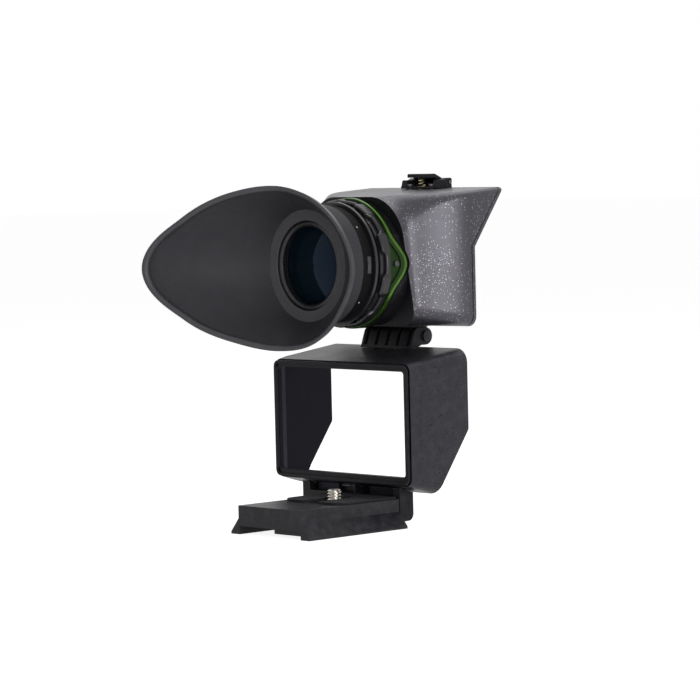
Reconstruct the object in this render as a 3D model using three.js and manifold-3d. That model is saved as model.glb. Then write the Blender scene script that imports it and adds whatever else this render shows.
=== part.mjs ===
// Loupe for a camera's rear screen: a winged eyecup and a focusing eyepiece on a light-tight body, which is
// hinged on top of a screen frame. The frame slides in a bracket on a dovetail base under the camera.
// X runs to the right, Y away from the eye, Z up. The pieces are placed from the camera screw's axis at the
// base's underside, and the whole model is then moved so that its origin is under the middle of its outline.
import * as THREE from "three";
import { mergeVertices } from "three/addons/utils/BufferGeometryUtils.js";
import Module from "manifold-3d";

const wasm = await Module();
wasm.setup();

// What touches keeps this clearance, cuts run past their piece by this overrun, and a rounded corner that
// a wall's thickness is taken off keeps at least this radius.
const clearance = 0.3;
const overrun = 2;
const leastCornerRadius = 1;

// Base plate: a dovetail plate with two rails, a boss between them and a slot for the screw.
const plateTopWidth = 40;
const plateFlare = 5;
const plateSideHeight = 5.5;
const plateFlareHeight = 6;
const plateLipHeight = 1;
const plateNearReach = 38;
const plateFarReach = 19.5;
const railWidth = 5.5;
const channelHeight = 3.6;
const bossWidth = 26;
const bossLength = 43.5;
const bossDrop = 2.1;
const bossCornerRadius = 6;
const slotWidth = 7.4;
const slotNearReach = 14;
const slotFarReach = 8;
const counterSlotWidth = 14;
const counterSlotDepth = 7;

// Stop bar screwed into the channel's near end, which keeps the plate from sliding out of its clamp.
const stopWidth = 22;
const stopDepth = 5;
const stopSetback = 4;
const stopRise = 1;
const stopCornerRadius = 2;
const stopScrewRadius = 1;
const stopScrewHeadRadius = 1.8;
const stopScrewHeadHeight = 0.9;
const stopScrewReach = 4;

// Rubber pad on the base.
const padWidth = 38;
const padThickness = 1;
const padNearReach = 14.5;
const padFarMargin = 0.8;
const padSlotMargin = 1;
const padCornerRadius = 7;

// Camera screw, 1/4 inch with 20 threads to the inch, and the collar that it turns in.
const screwRadius = 3.175;
const screwThreadPitch = 1.27;
const screwThreadDepth = 0.55;
const screwRise = 3.8;
const screwNeckRadius = 2.2;
const screwHeadRadius = 6;
const screwHeadHeight = 3;
const coinSlotWidth = 1.6;
const coinSlotDepth = 1.4;
const collarThickness = 2;
const collarLength = 12;
const collarCornerRadius = 5.7;
const collarHoleRadius = screwNeckRadius + clearance;

// Screen frame: its middle lies to the left of the screw, its near edge steps in at the lip, and its
// underside falls away towards the far end.
const frameMiddleX = -11.7;
const frameWidth = 89.4;
const frameHeight = 52.9;
const frameDepth = 34.1;
const frameOverhang = 3.8;
const frameRise = 6.2;
const frameWall = 2;
const frameLipInsetLeft = 2.2;
const frameLipInsetRight = 1;
const frameLipDepth = 6;
const frameTopFlareShare = 0.14;
const frameLowFlareShare = 0.3;
const frameNearCornerRadius = 3.5;
const frameTopCornerRadius = 6;
const frameLowLeftCornerRadius = 14;
const frameLowRightCornerRadius = 6;
const windowSideMargin = 4.05;
const windowTopMargin = 3.4;
const windowRise = 3.8;
const windowCornerRadius = 1.5;
const windowWeb = 2;
const slantTopDrop = 35.2;
const slantLowDepth = 14.6;
const slantCornerRadius = 4;

// Seal on the frame's near face, in two steps.
const sealOuterInset = 0.6;
const sealStepInset = 1.2;
const sealThickness = 1.3;
const sealStepHeight = 0.7;

// Tongues under the frame and the lock screws that hold them.
const tongueWidth = 14.5;
const tongueOffset = 17.25;
const tongueThickness = 2;
const tongueLength = 12.6;
const tongueGapInBracket = 3.1;
const lockScrewHeight = 7.2;
const lockScrewTravel = 4.5;
const lockShankRadius = 1.5;
const lockHeadRadius = 3.8;
const lockHeadLength = 3.8;
const lockRibCount = 12;
const lockRibDepthShare = 0.1;

// Bracket at the base's far end.
const bracketLeft = -42;
const bracketRight = 20.2;
const bracketDepth = 8.1;
const bracketUnderside = 2.5;
const bracketCornerRadius = 3;
const bracketPocketFloor = 13.3;
const bracketPocketDepth = 5.4;
const bracketLeftPost = 4.7;
const bracketRightPost = 4;
const bracketRibX = -8.5;
const bracketRib = 1.5;
const bracketScrewOffset = 5.5;
const bracketScrewHeight = 7.2;
const bracketScrewRadius = 1.5;
const bracketScrewHeadRadius = 2.7;
const bracketScrewHeadLength = 1.6;
const bracketScrewReach = 9;

// Hinge between the frame and the body: the lower leaf's plates and the upper leaf's knuckles take turns.
const hingeWidth = 32;
const hingeGapCount = 5;
const hingeGap = 2;
const hingeEndPlate = 1.6;
const hingeReach = 3.3;
const hingeRise = 4.6;
const barrelRadius = 3.85;
const hingeFootLength = 6.4;
const hingeFrontLean = 3.3;
const hingeFrontRadius = 3.2;
const hingePinRadius = 1.5;
const hingePinHeadRadius = 2.5;
const hingePinHeadLength = 0.8;
const hingeFootHeight = 1.2;
const flangeThickness = 1.4;
const flangeLength = 10;
const flangeNearReach = 7.4;
const flangeMargin = 1;
const hingeScrewRadius = 1;
const hingeScrewHeadRadius = 2.1;
const hingeScrewHeadLength = 1.3;
const hingeScrewReach = 4;

// Body: round at the collar, rectangular at the mouth, with a slanting extension over the mouth.
const middleX = -10;
const bodyWidth = 86;
const bodyHeightMargin = 3.1;
const bodyDepth = 32.4;
const bodyTopCornerRadius = 4;
const bodyLowCornerRadius = 5;
const bodyWall = 2.2;
const bodyNearLowInset = 1.5;
const bodyNearTopRadius = 17.7;
const bodyNearLowRadius = 9;
const collarRadius = 28.7;
const collarWall = 2.5;
const collarStraight = 3;
const collarFlatSetback = 3.5;
const flareProud = 0.3;
const flareSetback = 0.3;
const flareLean = 0.16;
const flareFullDepth = 3;
const shoulderBoreMargin = 0.6;
const axisDrop = 0.05;
const extensionInset = 1.9;
const widthEaseShare = 0.55;
const bodyLoftSteps = 4;

// Baffle inside the body.
const baffleSetback = 12;
const baffleThickness = 1.2;
const baffleSideMargin = 12;
const baffleHeightMargin = 9;

// Front ring that carries the eyepiece, and the green ring round it with its two pointed lobes.
const mountFlangeInset = 1.5;
const mountFlangeLength = 3.2;
const mountSpigotLength = 5;
const mountSnoutWall = 1;
const accentWidth = 2.4;
const accentSetback = 1.9;
const lobeReach = 6.3;
const lobeHalfAngle = 33;
const lobeSharpness = 1.35;
const lobeScrewSetback = 0.6;
const lobeScrewHeadRadius = 1.3;
const lobeScrewHeadHeight = 0.7;
const lobeScrewRadius = 0.7;

// Diopter ring and the travel of the eyepiece that it drives.
const diopterWidth = 4.7;
const diopterInset = 0.6;
const diopterFlatCount = 9;
const diopterStepsPerFlat = 10;
const diopterGrooveSteps = 2;
const diopterGrooveDepth = 0.9;
const diopterChamfer = 0.6;
const eyepieceTravel = 2.2;

// Eyepiece tube with its stop ring, lenses, spacer and bezel.
const tubeInset = 3.2;
const tubeBodyInset = 4.1;
const tubeGroove = 6.1;
const tubeReach = 21.3;
const tubeNeckInset = 5.7;
const tubeNeckWall = 2.8;
const lensShoulderWidth = 1.8;
const lensShoulderLength = 1.5;
const stopRingInset = 1.5;
const stopRingWidth = 1.5;
const lensEdge = 4;
const eyeLensBulge = 2.6;
const innerLensBulge = 3.4;
const lensCurveShares = [0, 0.4, 0.75];
const spacerLength = 8.9;
const bezelLength = 4.9;
const bezelWall = 2.3;
const bezelProud = 1.3;

// Eyecup: the rim's reach at +X, and its shares of that at even directions round the axis over +Z, with the
// wing at -X.
const cupNeckWall = 3;
const cupNeckLength = 9;
const cupFlangeOuterInset = 1.7;
const cupFlangeInnerInset = 0.6;
const cupFlangeThickness = 1.5;
const cupWall = 2;
const cupBeadRadius = 1.6;
const cupBeadSteps = 4;
const cupBeadTilt = Math.PI / 3;
const cupRimReach = 37.2;
const cupRimShares = [1, 0.954, 0.935, 0.952, 1.019, 1.199, 1.492, 1.207, 1.013, 0.981, 1.005, 0.978];
const cupRimDepth = 17;
const cupRimSlopeRight = 0.24;
const cupRimSlopeLeft = 0.55;
const cupBendShare = 0.42;
const cupWallShares = [0.25, 0.5, 0.75];

// Latch on top of the body, with its lever, pin and spring.
const latchWidth = 23;
const latchSeatDepth = 0.5;
const latchNearSetback = 9.2;
const latchLength = 9.3;
const latchFloor = 1;
const latchCheek = 3;
const latchCheekHeight = 4;
const latchPinSetback = 1.1;
const latchPinRise = 2.9;
const latchPinRadius = 0.9;
const latchKnuckleRadius = 1.9;
const thumbWidth = 14;
const thumbLength = 3.4;
const thumbNearSetback = 9.4;
const thumbThickness = 1.7;
const thumbRise = 6.8;
const thumbEdgeRadius = 0.6;
const hookReach = 5.3;
const hookRise = 1.7;
const hookThickness = 1.1;
const hookToothLength = 0.9;
const hookDrop = 1.3;
const hookWidth = 8;
const latchScrewRadius = 0.8;
const latchScrewHeadRadius = 1.4;
const latchScrewHeadHeight = 0.6;
const latchScrewReach = 1.2;

// Spring under the lever's thumb plate.
const springWire = 0.5;
const springRadius = 1.6;
const springCurls = 4.75;
const springSeatDepth = 1.2;
const springSeatMargin = 0.4;
const springSetback = 7;
const springStepsPerCurl = 8;
const springSides = 5;

// Catch on the frame for the lever's hook.
const catchWidth = 9;
const catchLength = 0.9;
const catchHeight = 1.1;
const catchSetback = 0.2;

// Fineness of the round pieces.
const ringSteps = 40;
const smallSteps = 12;
const cornerSteps = 5;
const bodyCornerSteps = 6;
const accentSteps = 60;

// Finishes.
const finishes = {
  anodised: { color: 0x17161a, roughness: 0.45, metalness: 0.6 },
  rubber: { color: 0x19181b, roughness: 0.75, metalness: 0 },
  plastic: { color: 0x1b1a1e, roughness: 0.5, metalness: 0 },
  gloss: { color: 0x141317, roughness: 0.3, metalness: 0 },
  steel: { color: 0xb9b2a4, roughness: 0.3, metalness: 1 },
  brass: { color: 0xc9a45a, roughness: 0.3, metalness: 1 },
  green: { color: 0x2f7a1a, roughness: 0.35, metalness: 0.7 },
  glass: { color: 0x16283a, roughness: 0.05, metalness: 0 },
};

// Sizes that follow from the driving ones.
const plateHeight = plateSideHeight + plateFlareHeight + plateLipHeight;
const plateBottomWidth = plateTopWidth + 2 * plateFlare;
const bossUnderside = channelHeight - bossDrop;
const shoulderZ = bossUnderside + counterSlotDepth;
const padTop = plateHeight + padThickness;
const bracketNear = plateFarReach + clearance;
const bracketFar = bracketNear + bracketDepth;
const frameNear = bracketNear - frameOverhang;
const frameFar = frameNear + frameDepth;
const frameLow = plateHeight + frameRise;
const frameTopSpread = frameTopFlareShare * frameDepth;
const frameFarTop = frameLow + frameHeight + frameTopSpread;
const windowLow = frameLow + windowRise;
const windowWidth = frameWidth - 2 * windowSideMargin;
const windowHeight = frameHeight - windowRise - windowTopMargin;
const slantTop = frameFarTop - slantTopDrop;
const slantLow = frameNear + slantLowDepth;
const tongueNear = bracketNear + tongueGapInBracket;
const tongueFar = tongueNear + tongueThickness;
const hingeY = frameFar + hingeReach;
const hingeZ = frameFarTop + hingeRise;
const bodyMouth = 2 * hingeY - frameFar - clearance;
const bodyBottom = 2 * hingeZ - frameFarTop;
const bodyHeight = 2 * collarRadius + bodyHeightMargin;
const bodyTop = bodyBottom + bodyHeight;
const latchSeatZ = bodyTop - latchSeatDepth;
const axisZ = bodyBottom + collarRadius - axisDrop;
const collarY = bodyMouth - bodyDepth;
const bodyEnd = 2 * hingeY - slantLow - extensionInset;
const slantRise = (slantTop - frameLow + frameLowFlareShare * slantLowDepth) / (frameFar - slantLow);
const bodySlantLow = 2 * hingeZ - slantTop - clearance;
const collarEdge = collarY - accentSetback + accentWidth / 2 + clearance;
const bodyNearLow = collarRadius - bodyNearLowInset;
const mountFlangeRadius = collarRadius - mountFlangeInset;
const mountNear = collarY - mountFlangeLength;
const diopterFar = mountNear - clearance;
const diopterNear = diopterFar - diopterWidth;
const stopFar = diopterNear - eyepieceTravel - clearance;
const stopNear = stopFar - stopRingWidth;
const tubeStep = stopNear - clearance;
const tubeNeckEnd = stopNear - tubeGroove;
const cupNeckEnd = tubeNeckEnd - clearance;
const cupNear = cupNeckEnd - cupNeckLength;
const tubeNear = cupNear + cupFlangeThickness + clearance;
const tubeFar = tubeStep + tubeReach;
const diopterRadius = collarRadius - diopterInset;
const stopRingRadius = collarRadius - stopRingInset;
const tubeRadius = collarRadius - tubeInset;
const tubeBodyRadius = collarRadius - tubeBodyInset;
const tubeNeckRadius = collarRadius - tubeNeckInset;
const lensSeatRadius = tubeNeckRadius - tubeNeckWall;
const lensShoulderRadius = lensSeatRadius - lensShoulderWidth;
const cupNeckRadius = tubeNeckRadius + clearance + cupNeckWall;
const cupFlangeOuter = cupNeckRadius - cupFlangeOuterInset;
const cupFlangeInner = lensSeatRadius - cupFlangeInnerInset;
const snoutInner = tubeBodyRadius + clearance;
const snoutOuter = snoutInner + mountSnoutWall;

const loupe = new THREE.Group();

function addPiece(name, geometry, finish) {
  const piece = new THREE.Mesh(geometry, new THREE.MeshStandardMaterial(finishes[finish]));
  piece.name = name;
  loupe.add(piece);
}

// A body with shared corners, no empty triangles and its faces pointing out.
function closedBody(source) {
  const bare = source.clone();
  bare.deleteAttribute("normal");
  bare.deleteAttribute("uv");
  const merged = mergeVertices(bare);
  const places = merged.attributes.position;
  const corners = [0, 1, 2].map(() => new THREE.Vector3());
  const kept = [];
  let volume = 0;
  for (let i = 0; i < merged.index.count; i += corners.length) {
    const [a, b, c] = [0, 1, 2].map((k) => merged.index.getX(i + k));
    if (a !== b && b !== c && c !== a) {
      [a, b, c].forEach((vertex, k) => corners[k].fromBufferAttribute(places, vertex));
      volume += corners[0].dot(corners[1].cross(corners[2]));
      kept.push(a, b, c);
    }
  }
  if (volume < 0) {
    kept.reverse();
  }
  merged.setIndex(kept);
  return merged;
}

function solidOf(source) {
  const body = closedBody(source);
  const vertProperties = new Float32Array(body.attributes.position.array);
  const triVerts = new Uint32Array(body.index.array);
  return new wasm.Manifold(new wasm.Mesh({ numProp: 3, vertProperties, triVerts }));
}

function geometryOf(solid) {
  const mesh = solid.getMesh();
  const geometry = new THREE.BufferGeometry();
  geometry.setAttribute("position", new THREE.BufferAttribute(mesh.vertProperties, 3));
  geometry.setIndex(new THREE.BufferAttribute(mesh.triVerts, 1));
  geometry.computeVertexNormals();
  return geometry;
}

function joined(...solids) {
  return solids.reduce((whole, next) => whole.add(next));
}

function cutBy(solid, ...cutters) {
  return cutters.reduce((rest, cutter) => rest.subtract(cutter), solid);
}

// An outline of [x, y, radius] corners, each rounded by an arc that touches both of its sides.
function roundedOutline(corners, steps = cornerSteps) {
  const points = [];
  corners.forEach(([x, y, radius = 0], i) => {
    const here = new THREE.Vector2(x, y);
    if (radius === 0) {
      points.push(here);
      return;
    }
    const [beforeX, beforeY] = corners[(i + corners.length - 1) % corners.length];
    const [afterX, afterY] = corners[(i + 1) % corners.length];
    const back = new THREE.Vector2(beforeX, beforeY).sub(here).normalize();
    const ahead = new THREE.Vector2(afterX, afterY).sub(here).normalize();
    const half = Math.acos(THREE.MathUtils.clamp(back.dot(ahead), -1, 1)) / 2;
    const middle = back.clone().add(ahead).normalize().multiplyScalar(radius / Math.sin(half)).add(here);
    const start = back.clone().multiplyScalar(radius / Math.tan(half)).add(here).sub(middle);
    const end = ahead.clone().multiplyScalar(radius / Math.tan(half)).add(here).sub(middle);
    let turn = end.angle() - start.angle();
    turn -= 2 * Math.PI * Math.round(turn / (2 * Math.PI));
    for (let step = 0; step <= steps; step += 1) {
      points.push(start.clone().rotateAround(new THREE.Vector2(), (turn * step) / steps).add(middle));
    }
  });
  return points;
}

function rectangle(x0, x1, y0, y1, radius = 0) {
  return roundedOutline([[x0, y0, radius], [x1, y0, radius], [x1, y1, radius], [x0, y1, radius]]);
}

function extruded(outline, depth, holes = []) {
  const shape = new THREE.Shape(outline);
  shape.holes = holes.map((hole) => new THREE.Path(hole));
  return new THREE.ExtrudeGeometry(shape, { depth, bevelEnabled: false });
}

// Prisms: the outline lies in (Y, Z), (X, Z) or (X, Y), and runs along the axis left over.
function alongX(outline, x0, x1, holes) {
  const turned = new THREE.Matrix4().makeBasis(
    new THREE.Vector3(0, 1, 0), new THREE.Vector3(0, 0, 1), new THREE.Vector3(1, 0, 0));
  return solidOf(extruded(outline, x1 - x0, holes).applyMatrix4(turned).translate(x0, 0, 0));
}

function alongY(outline, y0, y1, holes) {
  const turned = new THREE.Matrix4().makeBasis(
    new THREE.Vector3(1, 0, 0), new THREE.Vector3(0, 0, 1), new THREE.Vector3(0, -1, 0));
  return solidOf(extruded(outline, y1 - y0, holes).applyMatrix4(turned).translate(0, y1, 0));
}

function alongZ(outline, z0, z1, holes) {
  return solidOf(extruded(outline, z1 - z0, holes).translate(0, 0, z0));
}

function block(x0, x1, y0, y1, z0, z1) {
  return alongZ(rectangle(x0, x1, y0, y1), z0, z1);
}

// Turned pieces: the profile holds [radius, along] places, and starts and ends on the axis or closes.
function turned(profile, steps = ringSteps) {
  const points = profile.map(([radius, along]) => new THREE.Vector2(radius, along));
  const first = points[0];
  const last = points[points.length - 1];
  if (first.x > 0 || last.x > 0) {
    points.push(first.clone());
  }
  return new THREE.LatheGeometry(points, steps);
}

function turnedOnAxis(profile, steps) {
  return solidOf(turned(profile, steps).translate(middleX, 0, axisZ));
}

function rod(radius, start, length) {
  return [[0, start], [radius, start], [radius, start + length], [0, start + length]];
}

function rodAlongX(radius, x0, length, y, z, steps = smallSteps) {
  return solidOf(turned(rod(radius, 0, length), steps).rotateZ(-Math.PI / 2).translate(x0, y, z));
}

function rodAlongY(radius, x, y0, length, z, steps = smallSteps) {
  return solidOf(turned(rod(radius, 0, length), steps).translate(x, y0, z));
}

function rodAlongZ(radius, x, y, z0, length, steps = smallSteps) {
  return solidOf(turned(rod(radius, 0, length), steps).rotateX(Math.PI / 2).translate(x, y, z0));
}

// A closed skin over a loop of rings that all have the same number of points.
function ringSkin(rings) {
  const count = rings[0].length;
  const positions = rings.flatMap((ring) => ring.flatMap((point) => point.toArray()));
  const index = [];
  rings.forEach((_, i) => {
    const next = (i + 1) % rings.length;
    for (let k = 0; k < count; k += 1) {
      const after = (k + 1) % count;
      const [a, b] = [i * count + k, i * count + after];
      const [c, d] = [next * count + k, next * count + after];
      index.push(a, b, d, a, d, c);
    }
  });
  const geometry = new THREE.BufferGeometry();
  geometry.setAttribute("position", new THREE.Float32BufferAttribute(positions, 3));
  geometry.setIndex(index);
  return geometry;
}

// Points round a section with rounded corners, in (X, Z), whose radii start at the top right and go round
// over the top: a circle where they are half of its size.
function roundedRing({ left, right, low, top, radii }, y, steps) {
  const quarter = Math.PI / 2;
  const [topRight, topLeft, lowLeft, lowRight] = radii;
  const corners = [
    [right - topRight, top - topRight, topRight], [left + topLeft, top - topLeft, topLeft],
    [left + lowLeft, low + lowLeft, lowLeft], [right - lowRight, low + lowRight, lowRight],
  ];
  return corners.flatMap(([x, z, radius], corner) => Array.from({ length: steps + 1 }, (_, step) => {
    const angle = quarter * (corner + step / steps);
    return new THREE.Vector3(x + radius * Math.cos(angle), y, z + radius * Math.sin(angle));
  }));
}

function evenRadii(radius) {
  return [radius, radius, radius, radius];
}

function insetBy(section, inset) {
  return {
    left: section.left + inset,
    right: section.right - inset,
    low: section.low + inset,
    top: section.top - inset,
    radii: section.radii.map((radius) => Math.max(radius - inset, leastCornerRadius)),
  };
}

function basePlate() {
  const half = plateTopWidth / 2;
  const wide = plateBottomWidth / 2;
  const inner = wide - railWidth;
  const sideFoot = plateHeight - plateSideHeight;
  const section = [
    [half, plateHeight], [half, sideFoot], [wide, plateLipHeight], [wide, 0], [inner, 0],
    [inner, channelHeight],
  ];
  const mirrored = section.map(([x, z]) => [-x, z]).reverse();
  const body = alongY([...section, ...mirrored].map(([x, z]) => new THREE.Vector2(x, z)),
    -plateNearReach, plateFarReach);
  const bossNear = plateFarReach - bossLength;
  const bossHalf = bossWidth / 2;
  const boss = alongZ(roundedOutline([
    [-bossHalf, bossNear, bossCornerRadius], [bossHalf, bossNear, bossCornerRadius],
    [bossHalf, plateFarReach], [-bossHalf, plateFarReach],
  ]), bossUnderside, channelHeight + clearance);
  const slotHalf = slotWidth / 2;
  const slot = alongZ(rectangle(-slotHalf, slotHalf, -slotNearReach, slotFarReach, slotHalf),
    -overrun, plateHeight + overrun);
  const counterHalf = counterSlotWidth / 2;
  const counterMargin = counterHalf - slotHalf;
  const counterSlot = alongZ(rectangle(-counterHalf, counterHalf, -slotNearReach - counterMargin,
    slotFarReach + counterMargin, counterHalf), -overrun, shoulderZ);
  const screwHoles = bracketScrewPlaces().map((x) => rodAlongY(bracketScrewRadius + clearance, x,
    plateFarReach - bracketScrewReach, bracketScrewReach + overrun, bracketScrewHeight));
  const stop = stopPlace();
  const stopHole = rodAlongZ(stopScrewRadius + clearance, stop.middleX, stop.middleY,
    channelHeight - overrun, overrun + stopScrewReach + clearance);
  return cutBy(joined(body, boss), slot, counterSlot, stopHole, ...screwHoles);
}

function stopPlace() {
  const right = plateBottomWidth / 2 - railWidth - clearance;
  const near = stopSetback - plateNearReach;
  return {
    left: right - stopWidth,
    right,
    near,
    far: near + stopDepth,
    middleX: right - stopWidth / 2,
    middleY: near + stopDepth / 2,
  };
}

function plateStop() {
  const { left, right, near, far, middleX: x, middleY: y } = stopPlace();
  const top = channelHeight - clearance;
  const bar = alongZ(rectangle(left, right, near, far, stopCornerRadius), stopRise, top);
  const hole = rodAlongZ(stopScrewRadius + clearance, x, y, stopRise - overrun,
    top - stopRise + 2 * overrun);
  const headSeat = rodAlongZ(stopScrewHeadRadius + clearance, x, y, stopRise - overrun,
    overrun + stopScrewHeadHeight + clearance);
  return cutBy(bar, hole, headSeat);
}

function plateStopScrew() {
  const { middleX: x, middleY: y } = stopPlace();
  const head = rodAlongZ(stopScrewHeadRadius, x, y, stopRise, stopScrewHeadHeight);
  return joined(head, rodAlongZ(stopScrewRadius, x, y, stopRise + stopScrewHeadHeight / 2,
    channelHeight + stopScrewReach - stopRise - stopScrewHeadHeight / 2));
}

function basePad() {
  const half = padWidth / 2;
  const far = plateFarReach - padFarMargin;
  const outline = roundedOutline([
    [-half, -padNearReach, padCornerRadius], [half, -padNearReach, padCornerRadius],
    [half, far], [-half, far],
  ]);
  const pad = alongZ(outline, plateHeight + clearance / 2, padTop);
  const slotHalf = slotWidth / 2 + padSlotMargin;
  const slotOutline = rectangle(-slotHalf, slotHalf, -slotNearReach - slotWidth,
    slotFarReach + padSlotMargin, slotHalf);
  const slot = alongZ(slotOutline, plateHeight - overrun, padTop + overrun);
  return cutBy(pad, slot);
}

function cameraScrew() {
  const headTop = shoulderZ - clearance - collarThickness - clearance;
  const headLow = headTop - screwHeadHeight;
  const tip = padTop + screwRise;
  const threadStart = shoulderZ + clearance;
  const root = screwRadius - screwThreadDepth;
  const profile = [
    [0, headLow], [screwHeadRadius, headLow], [screwHeadRadius, headTop], [screwNeckRadius, headTop],
    [screwNeckRadius, threadStart],
  ];
  for (let z = threadStart; z + screwThreadPitch < tip; z += screwThreadPitch) {
    profile.push([root, z], [screwRadius, z + screwThreadPitch / 2]);
  }
  profile.push([root, tip], [0, tip]);
  const screw = solidOf(turned(profile, smallSteps).rotateX(Math.PI / 2));
  const coinSlot = block(-screwHeadRadius - overrun, screwHeadRadius + overrun, -coinSlotWidth / 2,
    coinSlotWidth / 2, headLow - overrun, headLow + coinSlotDepth);
  return cutBy(screw, coinSlot);
}

function screwCollar() {
  const top = shoulderZ - clearance;
  const halfWidth = counterSlotWidth / 2 - clearance;
  const halfLength = collarLength / 2;
  const plate = alongZ(rectangle(-halfWidth, halfWidth, -halfLength, halfLength, collarCornerRadius),
    top - collarThickness, top);
  return cutBy(plate, rodAlongZ(collarHoleRadius, 0, 0, top - collarThickness - overrun,
    collarThickness + 2 * overrun));
}

function bracketScrewPlaces() {
  return [middleX - bracketScrewOffset, middleX + bracketScrewOffset];
}

function tonguePlaces() {
  return [frameMiddleX - tongueOffset, frameMiddleX + tongueOffset];
}

function frameUnderside(y) {
  return frameLow - frameLowFlareShare * (y - frameNear);
}

function bracket() {
  const top = (y) => frameUnderside(y) - clearance;
  const profile = roundedOutline([
    [bracketNear, bracketUnderside], [bracketFar, bracketUnderside, bracketCornerRadius],
    [bracketFar, top(bracketFar)], [bracketNear, top(bracketNear)],
  ]);
  const body = alongX(profile, bracketLeft, bracketRight);
  const pocketFar = bracketNear + bracketPocketDepth;
  const pockets = [
    [bracketLeft + bracketLeftPost, bracketRibX - bracketRib / 2],
    [bracketRibX + bracketRib / 2, bracketRight - bracketRightPost],
  ].map(([x0, x1]) => block(x0, x1, bracketNear - overrun, pocketFar,
    bracketPocketFloor, frameLow + overrun));
  const tongueFoot = frameUnderside(tongueNear) - tongueLength - clearance;
  const slots = tonguePlaces().flatMap((x) => {
    const half = tongueWidth / 2 + clearance;
    const pass = lockShankRadius + clearance;
    return [
      block(x - half, x + half, tongueNear - clearance, tongueFar + clearance,
        tongueFoot, frameLow + overrun),
      alongY(rectangle(x - pass, x + pass, lockScrewHeight - pass,
        lockScrewHeight + lockScrewTravel + pass, pass),
        tongueFar, bracketFar + overrun),
    ];
  });
  const screwHoles = bracketScrewPlaces().map((x) => rodAlongY(bracketScrewRadius + clearance, x,
    bracketNear - overrun, bracketDepth + 2 * overrun, bracketScrewHeight));
  return cutBy(body, ...pockets, ...slots, ...screwHoles);
}

function bracketScrew(x) {
  const start = plateFarReach - bracketScrewReach + clearance;
  const head = bracketFar + clearance;
  return joined(
    rodAlongY(bracketScrewHeadRadius, x, head, bracketScrewHeadLength, bracketScrewHeight),
    rodAlongY(bracketScrewRadius, x, start, head - start + bracketScrewHeadLength / 2, bracketScrewHeight),
  );
}

// Side view of the frame, in (Y, Z): square at the near end, and cut off on a slant below the far end.
function frameSide() {
  const top = frameFarTop + overrun;
  const low = frameUnderside(slantLow);
  const near = frameNear - overrun;
  return roundedOutline([
    [near, top], [near, low - overrun], [slantLow - slantCornerRadius, low - overrun],
    [slantLow, low, slantCornerRadius], [frameFar, slantTop, slantCornerRadius / 2], [frameFar, top],
  ]);
}

function frameSection(y) {
  const lipShare = Math.max(0, 1 - (y - frameNear) / frameLipDepth);
  const farRadii = [
    frameTopCornerRadius, frameTopCornerRadius, frameLowLeftCornerRadius, frameLowRightCornerRadius,
  ];
  const share = (y - frameNear) / frameDepth;
  return {
    left: frameMiddleX - frameWidth / 2 + frameLipInsetLeft * lipShare,
    right: frameMiddleX + frameWidth / 2 - frameLipInsetRight * lipShare,
    low: frameUnderside(y),
    top: frameTop(y),
    radii: farRadii.map((radius) => THREE.MathUtils.lerp(frameNearCornerRadius, radius, share)),
  };
}

function frameRing(y, inset) {
  return roundedRing(insetBy(frameSection(y), inset), y, cornerSteps);
}

function windowRing(y) {
  return roundedRing({
    left: frameMiddleX - windowWidth / 2,
    right: frameMiddleX + windowWidth / 2,
    low: windowLow,
    top: windowLow + windowHeight,
    radii: evenRadii(windowCornerRadius),
  }, y, cornerSteps);
}

function screenFrame() {
  const web = frameNear + windowWeb;
  const crease = frameNear + frameLipDepth;
  const shell = solidOf(ringSkin([
    frameRing(frameNear, 0), frameRing(crease, 0), frameRing(frameFar, 0), frameRing(frameFar, frameWall),
    frameRing(crease, frameWall), frameRing(web, frameWall), windowRing(web), windowRing(frameNear),
  ]));
  const sideView = alongX(frameSide(), frameMiddleX - frameWidth, frameMiddleX + frameWidth);
  const tongueTop = frameUnderside(tongueFar) + frameWall / 2;
  const tongues = tonguePlaces().map((x) => block(x - tongueWidth / 2, x + tongueWidth / 2,
    tongueNear, tongueFar, frameUnderside(tongueNear) - tongueLength, tongueTop));
  const tongueHoles = tonguePlaces().map((x) => rodAlongY(
    lockShankRadius + clearance, x, tongueNear - overrun,
    tongueThickness + 2 * overrun, lockScrewHeight));
  const catchFar = slantLow - catchSetback;
  const catchTop = frameUnderside(catchFar);
  const catchLug = block(middleX - catchWidth / 2, middleX + catchWidth / 2,
    catchFar - catchLength, catchFar, catchTop - catchHeight, catchTop + frameWall / 2);
  const screwHoles = hingeScrewPlaces().map((x) => rodAlongZ(hingeScrewRadius + clearance, x, lowerScrewY(),
    frameFarTop - frameTopSpread, frameTopSpread + overrun));
  return cutBy(joined(shell.intersect(sideView), ...tongues, catchLug), ...tongueHoles, ...screwHoles);
}

function frameSeal() {
  const nearSection = frameSection(frameNear);
  const band = (y, inset) => roundedRing(insetBy(nearSection, inset), y, cornerSteps);
  const back = frameNear - clearance;
  const front = back - sealThickness;
  const step = front + sealStepHeight;
  return ringSkin([
    band(back, sealOuterInset), band(front, sealOuterInset), band(front, sealOuterInset + sealStepInset),
    band(step, sealOuterInset + sealStepInset), windowRing(step), windowRing(back),
  ]);
}

function lockScrew(x) {
  const head = bracketFar + clearance;
  const ribs = new THREE.Shape(Array.from({ length: 2 * lockRibCount }, (_, i) => {
    const angle = (Math.PI * i) / lockRibCount;
    const radius = lockHeadRadius * (1 - lockRibDepthShare * (i % 2));
    return new THREE.Vector2(x + radius * Math.cos(angle), lockScrewHeight + radius * Math.sin(angle));
  }));
  return joined(
    alongY(ribs.getPoints(), head, head + lockHeadLength),
    rodAlongY(lockShankRadius, x, tongueNear, head - tongueNear + lockHeadLength / 2, lockScrewHeight),
  );
}

function hingePlateLength() {
  return (hingeWidth - hingeGapCount * hingeGap - 2 * hingeEndPlate) / (hingeGapCount - 1);
}

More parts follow.
